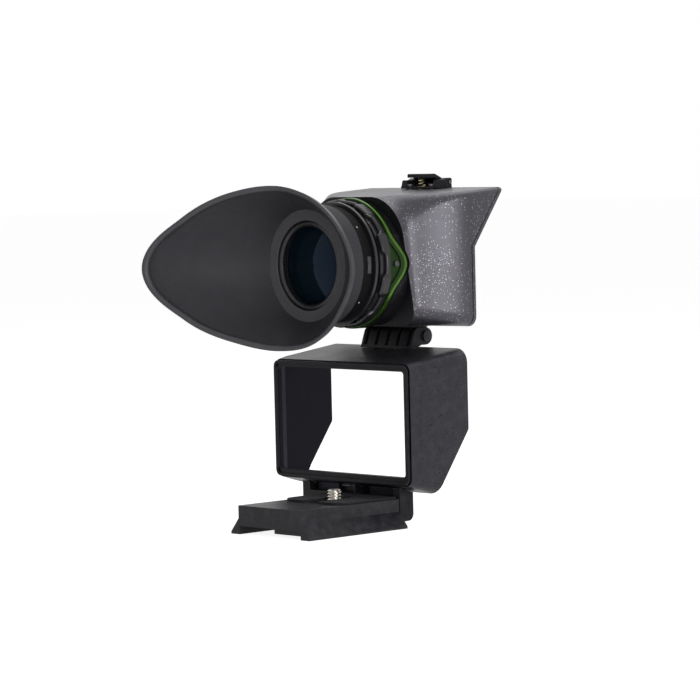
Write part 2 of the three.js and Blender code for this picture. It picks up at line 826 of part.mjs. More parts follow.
// Left side of each gap between the lower leaf's plates.
function hingeGapPlaces() {
  const first = frameMiddleX - hingeWidth / 2 + hingeEndPlate;
  return Array.from({ length: hingeGapCount }, (_, i) => first + i * (hingeGap + hingePlateLength()));
}

// Middles of the first and the last inner plate.
function hingeScrewPlaces() {
  const gaps = hingeGapPlaces();
  return [gaps[0], gaps[gaps.length - 2]].map((x) => x + hingeGap + hingePlateLength() / 2);
}

function lowerScrewY() {
  return frameFar - hingeFootLength / 2;
}

function frameTop(y) {
  return frameFarTop - frameTopFlareShare * (frameFar - y);
}

function hingeLowerLeaf() {
  const near = frameFar - hingeFootLength;
  const top = hingeZ + barrelRadius;
  const foot = (y) => frameTop(y) + clearance;
  const web = alongX(roundedOutline([
    [near, foot(near)], [frameFar - clearance, foot(frameFar)], [frameFar, hingeZ - barrelRadius],
    [hingeY, hingeZ - barrelRadius], [hingeY, top],
    [near + hingeFrontLean, top, hingeFrontRadius],
  ]), frameMiddleX - hingeWidth / 2, frameMiddleX + hingeWidth / 2);
  const barrel = rodAlongX(barrelRadius, frameMiddleX - hingeWidth / 2, hingeWidth, hingeY, hingeZ,
    ringSteps / 2);
  const sweep = Math.hypot(barrelRadius, flangeHeight()) + clearance;
  const gaps = hingeGapPlaces().flatMap((x) => [
    block(x, x + hingeGap, near - overrun, hingeY + sweep, foot(near) + hingeFootHeight, top + overrun),
    rodAlongX(sweep, x, hingeGap, hingeY, hingeZ, ringSteps / 2),
  ]);
  const screwHoles = hingeScrewPlaces().map((x) => rodAlongZ(hingeScrewRadius + clearance, x, lowerScrewY(),
    foot(near) - overrun, hingeScrewReach + overrun));
  const bore = rodAlongX(hingePinRadius + clearance, frameMiddleX - hingeWidth, 2 * hingeWidth,
    hingeY, hingeZ);
  return cutBy(joined(web, barrel), bore, ...gaps, ...screwHoles);
}

function flangeHeight() {
  return barrelRadius + clearance;
}

function hingeUpperLeaf() {
  const near = hingeY - flangeNearReach;
  const low = hingeZ + flangeHeight();
  const halfFlange = hingeWidth / 2 - flangeMargin;
  const flange = block(frameMiddleX - halfFlange, frameMiddleX + halfFlange,
    near, near + flangeLength, low, low + flangeThickness);
  const knuckles = hingeGapPlaces().map((x) => {
    const x0 = x + clearance;
    const x1 = x + hingeGap - clearance;
    return joined(
      rodAlongX(barrelRadius, x0, x1 - x0, hingeY, hingeZ, ringSteps / 2),
      block(x0, x1, hingeY - barrelRadius, Math.min(hingeY + barrelRadius, near + flangeLength), hingeZ,
        low + flangeThickness / 2),
    );
  });
  const bore = rodAlongX(hingePinRadius + clearance, frameMiddleX - hingeWidth, 2 * hingeWidth,
    hingeY, hingeZ);
  const screwHoles = hingeScrewPlaces().map((x) => rodAlongZ(hingeScrewRadius + clearance, x, upperScrewY(),
    low - overrun, flangeThickness + 2 * overrun));
  return cutBy(joined(flange, ...knuckles), bore, ...screwHoles);
}

function upperScrewY() {
  return hingeY - flangeNearReach + hingeScrewHeadRadius;
}

function hingePin() {
  const left = frameMiddleX - hingeWidth / 2;
  return joined(
    rodAlongX(hingePinRadius, left - clearance, hingeWidth + 2 * clearance + hingePinHeadLength / 2,
      hingeY, hingeZ),
    rodAlongX(hingePinHeadRadius, left + hingeWidth + clearance, hingePinHeadLength, hingeY, hingeZ,
      ringSteps / 2),
  );
}

function hingeScrewLower(x) {
  const under = frameTop(lowerScrewY() - hingeScrewHeadRadius) - frameWall - clearance;
  return joined(
    rodAlongZ(hingeScrewHeadRadius, x, lowerScrewY(), under - hingeScrewHeadLength, hingeScrewHeadLength),
    rodAlongZ(hingeScrewRadius, x, lowerScrewY(), under - clearance, frameWall + hingeScrewReach),
  );
}

function hingeScrewUpper(x) {
  const inside = bodySection(upperScrewY() - hingeScrewHeadRadius).low + bodyWall + clearance;
  const low = hingeZ + flangeHeight();
  return joined(
    rodAlongZ(hingeScrewHeadRadius, x, upperScrewY(), inside, hingeScrewHeadLength),
    rodAlongZ(hingeScrewRadius, x, upperScrewY(), low, inside - low + clearance),
  );
}

// The body's outline at a depth: a square with well rounded corners behind the collar, and rectangular below
// from the mouth on, where the top goes on widening up to the far end.
function bodySection(y) {
  const start = collarY + collarStraight;
  const share = THREE.MathUtils.clamp((y - start) / (bodyMouth - start), 0, 1);
  const topShare = THREE.MathUtils.clamp((y - start) / (bodyEnd - start), 0, 1);
  const eased = THREE.MathUtils.smoothstep(share, 0, 1);
  const widthShare = THREE.MathUtils.lerp(share, eased, widthEaseShare);
  const halfWidth = THREE.MathUtils.lerp(collarRadius + flareProud, bodyWidth / 2, widthShare);
  const topRadius = THREE.MathUtils.lerp(bodyNearTopRadius, bodyTopCornerRadius, topShare);
  const lowRadius = THREE.MathUtils.lerp(bodyNearLowRadius, bodyLowCornerRadius, share);
  return {
    left: middleX - halfWidth,
    right: middleX + halfWidth,
    low: THREE.MathUtils.lerp(axisZ - bodyNearLow, bodyBottom, share),
    top: THREE.MathUtils.lerp(axisZ + collarRadius + flareProud, bodyTop, topShare),
    radii: [topRadius, topRadius, lowRadius, lowRadius],
  };
}

// How far the green ring's lobes reach towards the body, by direction round the axis.
function lobeAt(angle) {
  const side = Math.abs(Math.atan(Math.tan(angle)));
  const half = THREE.MathUtils.degToRad(lobeHalfAngle);
  if (side >= half) {
    return 0;
  }
  return lobeReach * ((1 + Math.cos((Math.PI * side) / half)) / 2) ** lobeSharpness;
}

function bodyRing(y, inset) {
  return roundedRing(insetBy(bodySection(y), inset), y, bodyCornerSteps);
}

// Near edge of the body's flaring part, which leans back towards the bottom.
function flareNear(z) {
  return collarY + flareSetback + flareLean * (axisZ + collarRadius - z);
}

// A ring whose depth follows that lean.
function leaningRing(offset, sectionAt) {
  const start = collarY + collarStraight;
  return roundedRing(sectionAt(start), start, bodyCornerSteps).map((point, i) => {
    const depth = flareNear(point.z) + offset;
    return roundedRing(sectionAt(depth), depth, bodyCornerSteps)[i];
  });
}

function evenSection(halfWidth) {
  return {
    left: middleX - halfWidth,
    right: middleX + halfWidth,
    low: axisZ - halfWidth,
    top: axisZ + halfWidth,
    radii: evenRadii(halfWidth),
  };
}

// The round collar up to the flare, with its underside cut flat behind the green ring.
function bodyCollar() {
  const inside = snoutInner + shoulderBoreMargin;
  const tube = solidOf(ringAtAngles(accentSteps, (angle) => {
    const far = flareNear(axisZ + collarRadius * Math.sin(angle)) + bodyWall / 2;
    return [[inside, collarEdge], [collarRadius, collarEdge], [collarRadius, far], [inside, far]];
  }));
  const flat = block(middleX - collarRadius, middleX + collarRadius, collarY + collarFlatSetback, bodyMouth,
    axisZ - collarRadius - overrun, axisZ - bodyNearLow);
  return cutBy(tube, flat);
}

// What the green ring's lobes take away from the body.
function lobeCut() {
  return solidOf(ringAtAngles(accentSteps, (angle) => {
    const far = accentMiddle(angle) + accentWidth / 2 + clearance;
    return [[snoutInner, mountNear], [bodyWidth / 2, mountNear], [bodyWidth / 2, far], [snoutInner, far]];
  }));
}

// Side view of what the slant takes away from the body behind its mouth, in (Y, Z).
function slantCut() {
  const endZ = bodySlantLow + slantRise * (bodyEnd - bodyMouth);
  const low = bodyBottom - overrun;
  return [[bodyMouth, low], [bodyEnd + overrun, low], [bodyEnd + overrun, endZ], [bodyEnd, endZ],
    [bodyMouth, bodySlantLow]].map(([y, z]) => new THREE.Vector2(y, z));
}

function viewfinderBody() {
  const firstFull = flareNear(bodyBottom) + flareFullDepth;
  const depths = Array.from({ length: bodyLoftSteps + 1 },
    (_, i) => THREE.MathUtils.lerp(firstFull, bodyMouth, i / bodyLoftSteps));
  const throat = () => evenSection(snoutInner + clearance);
  const outer = [leaningRing(0, bodySection), ...depths.map((y) => bodyRing(y, 0)), bodyRing(bodyEnd, 0)];
  const inner = [bodyRing(bodyEnd, bodyWall), ...depths.reverse().map((y) => bodyRing(y, bodyWall)),
    leaningRing(bodyWall, (y) => insetBy(bodySection(y), bodyWall))];
  const shell = joined(bodyCollar(), solidOf(ringSkin([
    ...outer, ...inner, leaningRing(bodyWall, throat), leaningRing(0, throat),
  ])));
  const spigotFar = collarY + mountSpigotLength + clearance;
  const spigotBore = turnedOnAxis(rod(collarRadius - collarWall, mountNear, spigotFar - mountNear));
  const slant = alongX(slantCut(), middleX - bodyWidth, middleX + bodyWidth);
  const near = hingeY - flangeNearReach - clearance;
  const halfPocket = hingeWidth / 2 - flangeMargin + clearance;
  const pocket = block(frameMiddleX - halfPocket, frameMiddleX + halfPocket,
    near, near + flangeLength + 2 * clearance,
    bodyBottom - overrun, hingeZ + flangeHeight() + flangeThickness + clearance);
  const screwHoles = hingeScrewPlaces().map((x) => rodAlongZ(hingeScrewRadius + clearance, x, upperScrewY(),
    bodyBottom - overrun, bodyWall + 2 * overrun));
  const latchHoles = latchScrewPlaces().map(([x, y]) => rodAlongZ(latchScrewRadius + clearance, x, y,
    latchSeatZ - bodyWall - overrun, bodyWall + 2 * overrun));
  const place = latchPlace();
  const latchSeat = block(place.left - clearance, place.right + clearance, place.near - clearance,
    bodyEnd + overrun, latchSeatZ, bodyTop + overrun);
  const springSeat = rodAlongZ(springSeatRadius(), middleX, springY(), latchSeatZ - springSeatDepth,
    springSeatDepth + overrun);
  return cutBy(shell, lobeCut(), spigotBore, slant, pocket, latchSeat, springSeat,
    ...screwHoles, ...latchHoles);
}

function lightBaffle() {
  const y = bodyMouth - baffleSetback;
  const outer = bodyRing(y, bodyWall + clearance);
  const middleZ = (bodySection(y).low + bodySection(y).top) / 2;
  const opening = roundedRing({
    left: middleX - bodyWidth / 2 + baffleSideMargin,
    right: middleX + bodyWidth / 2 - baffleSideMargin,
    low: middleZ - bodyHeight / 2 + baffleHeightMargin,
    top: middleZ + bodyHeight / 2 - baffleHeightMargin,
    radii: evenRadii(bodyLowCornerRadius),
  }, y, bodyCornerSteps);
  const back = (ring) => ring.map((point) => point.clone().setY(y - baffleThickness));
  const narrow = bodyRing(y - baffleThickness, bodyWall + clearance);
  return ringSkin([outer, narrow, back(opening), opening]);
}

function mountRing() {
  const far = collarY + mountSpigotLength;
  const spigot = collarRadius - collarWall - clearance;
  const ring = turnedOnAxis([
    [snoutInner, diopterNear], [snoutOuter, diopterNear], [snoutOuter, mountNear],
    [spigot, mountNear], [spigot, far], [snoutInner, far],
  ]);
  const flange = ringAtAngles(accentSteps, (angle) => {
    const edge = accentMiddle(angle) + accentWidth / 2;
    const inside = spigot - clearance;
    return [[mountFlangeRadius, mountNear], [mountFlangeRadius, edge], [inside, edge], [inside, mountNear]];
  });
  const holeLength = mountFlangeRadius - snoutInner + 2 * overrun;
  const screwHoles = [snoutInner - overrun, -mountFlangeRadius - overrun].map((start) => rodAlongX(
    lobeScrewRadius + clearance, middleX + start, holeLength, lobeScrewY(), axisZ));
  return cutBy(joined(ring, solidOf(flange)), ...screwHoles);
}

// A ring round the axis whose section, as [radius, along] places, changes with the direction.
function ringAtAngles(steps, sectionAt) {
  const sections = Array.from({ length: steps }, (_, i) => {
    const angle = (2 * Math.PI * i) / steps;
    return sectionAt(angle, i).map(([radius, along]) => new THREE.Vector3(
      middleX + radius * Math.cos(angle), along, axisZ + radius * Math.sin(angle)));
  });
  return ringSkin(sections);
}

function accentMiddle(angle) {
  return collarY - accentSetback + lobeAt(angle);
}

function lobeScrewY() {
  return collarY - lobeScrewSetback;
}

function accentRing() {
  return ringAtAngles(accentSteps, (angle) => {
    const middle = accentMiddle(angle);
    const half = accentWidth / 2;
    const inside = mountFlangeRadius + clearance;
    return [[inside, middle - half], [collarRadius, middle - half], [collarRadius, middle + half],
      [inside, middle + half]];
  });
}

function mountScrew(side) {
  const seat = mountFlangeRadius + clearance;
  const shank = seat + lobeScrewHeadHeight / 2 - snoutInner - clearance;
  const headX = side > 0 ? seat : -seat - lobeScrewHeadHeight;
  const shankX = side > 0 ? snoutInner + clearance : -snoutInner - clearance - shank;
  return joined(
    rodAlongX(lobeScrewHeadRadius, middleX + headX, lobeScrewHeadHeight, lobeScrewY(), axisZ),
    rodAlongX(lobeScrewRadius, middleX + shankX, shank, lobeScrewY(), axisZ),
  );
}

function diopterRing() {
  const inside = snoutOuter + clearance;
  return ringAtAngles(diopterFlatCount * diopterStepsPerFlat, (_, i) => {
    const phase = i % diopterStepsPerFlat;
    const inGroove = Math.min(phase, diopterStepsPerFlat - phase) <= diopterGrooveSteps;
    const outside = diopterRadius - (inGroove ? diopterGrooveDepth : 0);
    return [
      [inside, diopterNear], [outside - diopterChamfer, diopterNear],
      [outside, diopterNear + diopterChamfer], [outside, diopterFar], [inside, diopterFar],
    ];
  });
}

function eyepieceTube() {
  const shoulder = lensShoulderStart();
  return turnedOnAxis([
    [lensSeatRadius, tubeNear], [tubeNeckRadius, tubeNear], [tubeNeckRadius, tubeNeckEnd],
    [tubeRadius, tubeNeckEnd], [tubeRadius, tubeStep], [tubeBodyRadius, tubeStep],
    [tubeBodyRadius, tubeFar], [lensSeatRadius, tubeFar],
    [lensSeatRadius, shoulder + lensShoulderLength], [lensShoulderRadius, shoulder + lensShoulderLength],
    [lensShoulderRadius, shoulder], [lensSeatRadius, shoulder],
  ]);
}

// The lens stack, from the bezel inwards: eye lens, spacer, inner lens, shoulder of the tube.
function bezelFar() {
  return tubeNear - bezelProud + bezelLength;
}

function eyeLensNear() {
  return bezelFar() + clearance;
}

function spacerNear() {
  return eyeLensNear() + lensEdge + clearance;
}

function innerLensNear() {
  return spacerNear() + spacerLength + clearance;
}

function lensShoulderStart() {
  return innerLensNear() + lensEdge + clearance;
}

function lens(near, bulge) {
  const radius = lensSeatRadius - clearance;
  const far = near + lensEdge;
  const clear = lensShoulderRadius - clearance;
  const front = lensCurveShares.map((share) => [clear * share, near - bulge * (1 - share * share)]);
  return turnedOnAxis([...front, [clear, near], [radius, near], [radius, far], [0, far]]);
}

function lensSpacer() {
  return turnedOnAxis([
    [lensShoulderRadius, spacerNear()], [lensSeatRadius - clearance, spacerNear()],
    [lensSeatRadius - clearance, spacerNear() + spacerLength],
    [lensShoulderRadius, spacerNear() + spacerLength],
  ]);
}

function lensBezel() {
  const near = tubeNear - bezelProud;
  const outside = cupFlangeInner - clearance;
  const thread = lensSeatRadius - clearance;
  return turnedOnAxis([
    [outside - bezelWall, near + bezelProud / 2], [outside - bezelWall / 2, near], [outside, near],
    [outside, tubeNear + clearance], [thread, tubeNear + clearance], [thread, bezelFar()],
    [lensShoulderRadius, bezelFar()],
  ]);
}

function stopRing() {
  return turnedOnAxis([
    [tubeBodyRadius + clearance, stopNear], [stopRingRadius, stopNear], [stopRingRadius, stopFar],
    [tubeBodyRadius + clearance, stopFar],
  ]);
}

// The rim's distance from the axis and its depth, by direction round the axis.
function cupRim(angle) {
  const count = cupRimShares.length;
  const place = (angle * count) / (2 * Math.PI);
  const first = Math.floor(place);
  const share = place - first;
  const [before, here, next, after] = [-1, 0, 1, 2].map(
    (step) => cupRimReach * cupRimShares[(first + step + count) % count]);
  const [slopeHere, slopeNext] = [(next - before) / 2, (after - here) / 2];
  const reach = here + share * (slopeHere + share * (3 * (next - here) - 2 * slopeHere - slopeNext
    + share * (slopeHere + slopeNext - 2 * (next - here))));
  const across = reach * Math.cos(angle);
  const slope = across > 0 ? cupRimSlopeRight : cupRimSlopeLeft;
  return { reach, along: cupNear - cupRimDepth + slope * across };
}

function eyecup() {
  const tubeBore = tubeNeckRadius + clearance;
  const flangeBack = cupNear + cupFlangeThickness;
  return ringAtAngles(ringSteps, (angle) => {
    const rim = cupRim(angle);
    const start = new THREE.Vector2(cupFlangeOuter, cupNear);
    const end = new THREE.Vector2(rim.reach - cupWall, rim.along + cupBeadRadius);
    const bend = new THREE.Vector2(
      THREE.MathUtils.lerp(start.x, end.x, cupBendShare),
      THREE.MathUtils.lerp(start.y, end.y, 1 - cupBendShare),
    );
    const inner = new THREE.QuadraticBezierCurve(start, bend, end);
    const wallAt = (share, offset) => {
      const tangent = inner.getTangent(share);
      return inner.getPoint(share).add(new THREE.Vector2(-tangent.y, tangent.x).multiplyScalar(offset));
    };
    const inside = cupWallShares.map((share) => wallAt(share, 0));
    const outside = cupWallShares.map((share) => wallAt(share, cupWall)).reverse();
    const rimBead = Array.from({ length: cupBeadSteps + 1 }, (_, step) => {
      const turn = Math.PI * (1 - step / cupBeadSteps) + cupBeadTilt;
      return new THREE.Vector2(end.x + cupBeadRadius / 2 + cupBeadRadius * Math.cos(turn),
        end.y - cupBeadRadius * Math.sin(turn));
    });
    const neck = [[cupNeckRadius, flangeBack], [cupNeckRadius, cupNeckEnd], [tubeBore, cupNeckEnd],
      [tubeBore, flangeBack], [cupFlangeInner, flangeBack], [cupFlangeInner, cupNear]];
    return [...[start, ...inside, ...rimBead, ...outside].map((point) => [point.x, point.y]), ...neck];
  });
}

function latchPlace() {
  return {
    left: middleX - latchWidth / 2,
    right: middleX + latchWidth / 2,
    near: bodyEnd - latchNearSetback,
    far: bodyEnd - latchNearSetback + latchLength,
    pinY: bodyEnd - latchPinSetback,
    pinZ: latchSeatZ + latchPinRise,
  };
}

function latchScrewPlaces() {
  const place = latchPlace();
  return [place.left, place.right].map((edge, i) => {
    const inward = i === 0 ? 1 : -1;
    const inset = latchCheek + clearance + latchScrewHeadRadius;
    return [edge + inward * inset, place.near + latchScrewHeadRadius];
  });
}

function latchBase() {
  const place = latchPlace();
  const low = latchSeatZ + clearance;
  const top = latchSeatZ + latchCheekHeight;
  const floor = block(place.left, place.right, place.near, bodyEnd - clearance, low, low + latchFloor);
  const cheekSide = roundedOutline([
    [place.near, low], [place.far, low, latchFloor / 2], [place.far, place.pinZ + latchKnuckleRadius,
      latchKnuckleRadius / 2],
    [place.pinY - latchKnuckleRadius, place.pinZ + latchKnuckleRadius, latchFloor / 2],
    [place.pinY - 2 * latchKnuckleRadius, top, latchFloor / 2],
    [place.near + latchFloor, top, latchFloor / 2],
  ]);
  const cheeks = [[place.left, place.left + latchCheek], [place.right - latchCheek, place.right]]
    .map(([x0, x1]) => alongX(cheekSide, x0, x1));
  const bore = rodAlongX(latchPinRadius + clearance, place.left - overrun, latchWidth + 2 * overrun,
    place.pinY, place.pinZ);
  const through = latchFloor + 2 * overrun;
  const holes = latchScrewPlaces().map(
    ([x, y]) => rodAlongZ(latchScrewRadius + clearance, x, y, low - overrun, through));
  const springHole = rodAlongZ(springSeatRadius(), middleX, springY(), low - overrun, through);
  return cutBy(joined(floor, ...cheeks), bore, springHole, ...holes);
}

function latchScrew([x, y]) {
  const seat = latchSeatZ + clearance + latchFloor + clearance;
  return joined(
    rodAlongZ(latchScrewHeadRadius, x, y, seat, latchScrewHeadHeight),
    rodAlongZ(latchScrewRadius, x, y, latchSeatZ - latchScrewReach,
      seat - latchSeatZ + latchScrewReach + clearance),
  );
}

function latchLever() {
  const place = latchPlace();
  const thumbTop = latchSeatZ + thumbRise;
  const thumbLow = thumbTop - thumbThickness;
  const thumbNear = bodyEnd - thumbNearSetback;
  const thumbFar = thumbNear + thumbLength;
  const half = latchKnuckleRadius - clearance;
  const arm = roundedOutline([
    [thumbNear, thumbTop, thumbEdgeRadius], [thumbNear, thumbLow], [thumbFar, thumbLow],
    [place.pinY - half, place.pinZ], [place.pinY + half, place.pinZ], [place.pinY + half, place.pinZ + half],
    [place.pinY, place.pinZ + half], [thumbFar, thumbTop],
  ]);
  const hookFar = place.pinY + hookReach;
  const hookTop = place.pinZ + hookRise;
  const hookLow = hookTop - hookThickness;
  const hook = roundedOutline([
    [place.pinY, hookTop], [place.pinY, hookLow], [hookFar - hookToothLength, hookLow],
    [hookFar - hookToothLength, hookLow - hookDrop], [hookFar, hookLow], [hookFar, hookTop],
  ]);
  const knuckle = rodAlongX(latchKnuckleRadius - clearance, middleX - thumbWidth / 2, thumbWidth, place.pinY,
    place.pinZ);
  const bore = rodAlongX(latchPinRadius + clearance, middleX - thumbWidth, 2 * thumbWidth,
    place.pinY, place.pinZ);
  return cutBy(joined(
    alongX(arm, middleX - thumbWidth / 2, middleX + thumbWidth / 2),
    alongX(hook, middleX - hookWidth / 2, middleX + hookWidth / 2), knuckle), bore);
}

function latchPin() {
  const place = latchPlace();
  return rodAlongX(latchPinRadius, place.left - clearance, latchWidth + 2 * clearance,
    place.pinY, place.pinZ);
}

function springY() {
  return bodyEnd - springSetback;
}

function springSeatRadius() {
  return springRadius + springWire / 2 + springSeatMargin;
}

// The spring's centre line: a straight end, the curls, and a straight end again.
function springPath() {
  const low = latchSeatZ - springSeatDepth + clearance;
  const high = latchSeatZ + thumbRise - thumbThickness - clearance;
  const middle = new THREE.Vector3(middleX, springY(), 0);
  const rise = high - low - 2 * springWire;
  const steps = Math.round(springCurls * springStepsPerCurl);
  const at = (share) => {
    const angle = 2 * Math.PI * springCurls * share;
    return new THREE.Vector3(springRadius * Math.cos(angle), springRadius * Math.sin(angle),
      low + springWire + rise * share).add(middle);
  };
  const curls = Array.from({ length: steps + 1 }, (_, i) => at(i / steps));
  const first = at(0).setZ(low);
  const last = at(1).setZ(high);
  return [first, ...curls, last];
}

// Least distance between stretches of the wire that are at least half a curl apart, less the wire itself.
function springLeastGap(path) {
  let least = Infinity;
  path.forEach((point, i) => {
    path.slice(i + springStepsPerCurl / 2).forEach((other) => {
      least = Math.min(least, point.distanceTo(other));
    });
  });
  return least - springWire;
}

function latchSpring() {
  const path = springPath();
  console.log(`spring's least gap to itself: ${springLeastGap(path).toFixed(2)} mm`);
  const up = new THREE.Vector3(0, 0, 1);
  const middle = new THREE.Vector3(middleX, springY(), 0);
  const rings = path.map((point, i) => {
    const outward = point.clone().sub(middle).setZ(0).normalize();
    const ends = i === 0 || i === path.length - 1;
    const side = ends ? new THREE.Vector3().crossVectors(outward, up) : up;
    return Array.from({ length: springSides }, (_, k) => {
      const angle = (2 * Math.PI * k) / springSides;
      return point.clone().addScaledVector(outward, (springWire / 2) * Math.cos(angle))
        .addScaledVector(side, (springWire / 2) * Math.sin(angle));
    });
  });
  return cappedTube(rings);
}

function cappedTube(rings) {
  const count = rings[0].length;
  const positions = rings.flatMap((ring) => ring.flatMap((point) => point.toArray()));
  const index = [];
  for (let i = 0; i + 1 < rings.length; i += 1) {
    for (let k = 0; k < count; k += 1) {
      const after = (k + 1) % count;
      const [a, b] = [i * count + k, i * count + after];
      index.push(a, b, b + count, a, b + count, a + count);
    }
  }
  const last = (rings.length - 1) * count;
  for (let k = 1; k + 1 < count; k += 1) {
    index.push(0, k + 1, k, last, last + k, last + k + 1);
  }
  const geometry = new THREE.BufferGeometry();
  geometry.setAttribute("position", new THREE.Float32BufferAttribute(positions, 3));
  geometry.setIndex(index);
  return geometry;
}

function addSolid(name, finish, solid) {
  addPiece(name, geometryOf(solid), finish);
}

function addPair(name, finish, makePiece, places) {
  ["left", "right"].forEach((side, i) => addSolid(`${name}_${side}`, finish, makePiece(places[i])));
}

addSolid("base_plate", "anodised", basePlate());
addSolid("plate_stop", "anodised", plateStop());
addSolid("plate_stop_screw", "steel", plateStopScrew());
addSolid("base_pad", "rubber", basePad());
addSolid("screw_collar", "steel", screwCollar());
addSolid("camera_screw", "steel", cameraScrew());
addSolid("bracket", "plastic", bracket());
addPair("bracket_screw", "steel", bracketScrew, bracketScrewPlaces());

addSolid("lcd_frame", "plastic", screenFrame());
addPiece("frame_seal", closedBody(frameSeal()), "rubber");
addPair("lock_screw", "anodised", lockScrew, tonguePlaces());
addSolid("hinge_lower_leaf", "plastic", hingeLowerLeaf());
addSolid("hinge_pin", "anodised", hingePin());
addPair("hinge_screw_lower", "steel", hingeScrewLower, hingeScrewPlaces());

addSolid("viewfinder_body", "gloss", viewfinderBody());
addSolid("hinge_upper_leaf", "plastic", hingeUpperLeaf());
addPair("hinge_screw_upper", "steel", hingeScrewUpper, hingeScrewPlaces());
addPiece("light_baffle", closedBody(lightBaffle()), "plastic");
addSolid("mount_ring", "anodised", mountRing());
addPiece("accent_ring", closedBody(accentRing()), "green");
addPair("mount_screw", "steel", mountScrew, [-1, 1]);

addPiece("diopter_ring", closedBody(diopterRing()), "anodised");
addSolid("eyepiece_tube", "anodised", eyepieceTube());
addSolid("stop_ring", "anodised", stopRing());
addSolid("eye_lens", "glass", lens(eyeLensNear(), eyeLensBulge));
addSolid("lens_spacer", "anodised", lensSpacer());
addSolid("inner_lens", "glass", lens(innerLensNear(), innerLensBulge));
addSolid("lens_bezel", "anodised", lensBezel());
addPiece("eyecup", closedBody(eyecup()), "rubber");

addSolid("latch_base", "plastic", latchBase());
addPair("latch_screw", "steel", latchScrew, latchScrewPlaces());
addSolid("latch_lever", "plastic", latchLever());
addSolid("latch_pin", "steel", latchPin());
addPiece("latch_spring", closedBody(latchSpring()), "brass");

const outline = new THREE.Box3().setFromObject(loupe);
const middle = outline.getCenter(new THREE.Vector3());
loupe.position.set(-middle.x, -middle.y, -outline.min.z);

export default loupe;
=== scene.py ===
import math

import bmesh
import bpy
from mathutils import Matrix, Vector


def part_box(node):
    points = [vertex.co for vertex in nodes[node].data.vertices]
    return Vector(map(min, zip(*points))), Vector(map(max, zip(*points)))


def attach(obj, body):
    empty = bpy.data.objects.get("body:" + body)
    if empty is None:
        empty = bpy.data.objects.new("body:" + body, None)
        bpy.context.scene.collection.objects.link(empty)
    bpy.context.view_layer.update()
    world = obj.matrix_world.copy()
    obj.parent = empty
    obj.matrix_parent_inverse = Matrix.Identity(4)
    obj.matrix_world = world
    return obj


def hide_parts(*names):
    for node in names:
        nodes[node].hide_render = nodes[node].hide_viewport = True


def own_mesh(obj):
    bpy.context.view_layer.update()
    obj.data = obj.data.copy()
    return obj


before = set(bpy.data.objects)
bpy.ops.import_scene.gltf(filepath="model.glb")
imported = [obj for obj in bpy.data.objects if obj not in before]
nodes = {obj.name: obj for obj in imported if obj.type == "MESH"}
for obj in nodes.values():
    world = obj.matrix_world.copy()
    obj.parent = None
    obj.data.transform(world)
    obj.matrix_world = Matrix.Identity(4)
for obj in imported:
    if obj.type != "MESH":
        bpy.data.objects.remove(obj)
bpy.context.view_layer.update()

scene = bpy.context.scene
screwLow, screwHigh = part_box("camera_screw")
origin = Vector(((screwLow.x + screwHigh.x) / 2, (screwLow.y + screwHigh.y) / 2, 0))  # the screw's axis
print("frame loaded:", len(nodes), "nodes")


def place(x, y, z):  # millimetres from the camera screw's axis to metres in the CAD's frame
    return origin + Vector((x, y, z)) * 0.001


# ---- the camera, solved from the photograph's straight edges

view = {
    "eye": (1081.16, -998.67, 166.55),
    "right": (0.68264, 0.73076, 0),
    "up": (-0.044103, 0.041199, 0.998185),
    "back": (0.729428, -0.681396, 0.060352),
    "roll": 1.38,
    "lens": 175.44,
    "sensor": 36,
    "clip": (0.05, 50),
}


def makeCamera():
    turn = math.radians(view["roll"])
    right, up, back = (Vector(view[key]) for key in ("right", "up", "back"))
    acrossAxis = right * math.cos(turn) - up * math.sin(turn)
    upAxis = right * math.sin(turn) + up * math.cos(turn)
    camera = bpy.data.cameras.new("photoCamera")
    camera.lens = view["lens"]
    camera.sensor_width = view["sensor"]
    camera.clip_start, camera.clip_end = view["clip"]
    holder = bpy.data.objects.new("photoCamera", camera)
    holder.matrix_world = Matrix.Translation(place(*view["eye"])) @ Matrix(
        (acrossAxis, upAxis, back)).transposed().to_4x4()
    scene.collection.objects.link(holder)
    scene.camera = holder


makeCamera()

# ---- shader node helpers


def feed(tree, node, inputs):  # links sockets and sets plain values
    for key, value in inputs.items():
        if isinstance(value, bpy.types.NodeSocket):
            tree.links.new(value, node.inputs[key])
        else:
            node.inputs[key].default_value = value


def addNode(tree, kind, inputs=None, **settings):
    node = tree.nodes.new(kind)
    for key, value in settings.items():
        setattr(node, key, value)
    feed(tree, node, inputs or {})
    return node


def mathNode(tree, operation, first, second):
    return addNode(tree, "ShaderNodeMath", {0: first, 1: second}, operation=operation).outputs[0]


def mixColor(tree, share, first, second):
    return addNode(tree, "ShaderNodeMix", {0: share, 6: first, 7: second}, data_type="RGBA").outputs[2]


def rangeNode(tree, value, low, high, toLow=0.0, toHigh=1.0):
    inputs = {0: value, 1: low, 2: high, 3: toLow, 4: toHigh}
    return addNode(tree, "ShaderNodeMapRange", inputs).outputs[0]


def coordinates(tree, kind="Object"):
    return addNode(tree, "ShaderNodeTexCoord").outputs[kind]


def partOf(tree, vector, letter):
    return addNode(tree, "ShaderNodeSeparateXYZ", {0: vector}).outputs[letter]


def noiseNode(tree, scale, detail, **more):
    inputs = {"Vector": coordinates(tree), "Scale": scale, "Detail": detail, **more}
    return addNode(tree, "ShaderNodeTexNoise", inputs).outputs[0]


# ---- shared effects

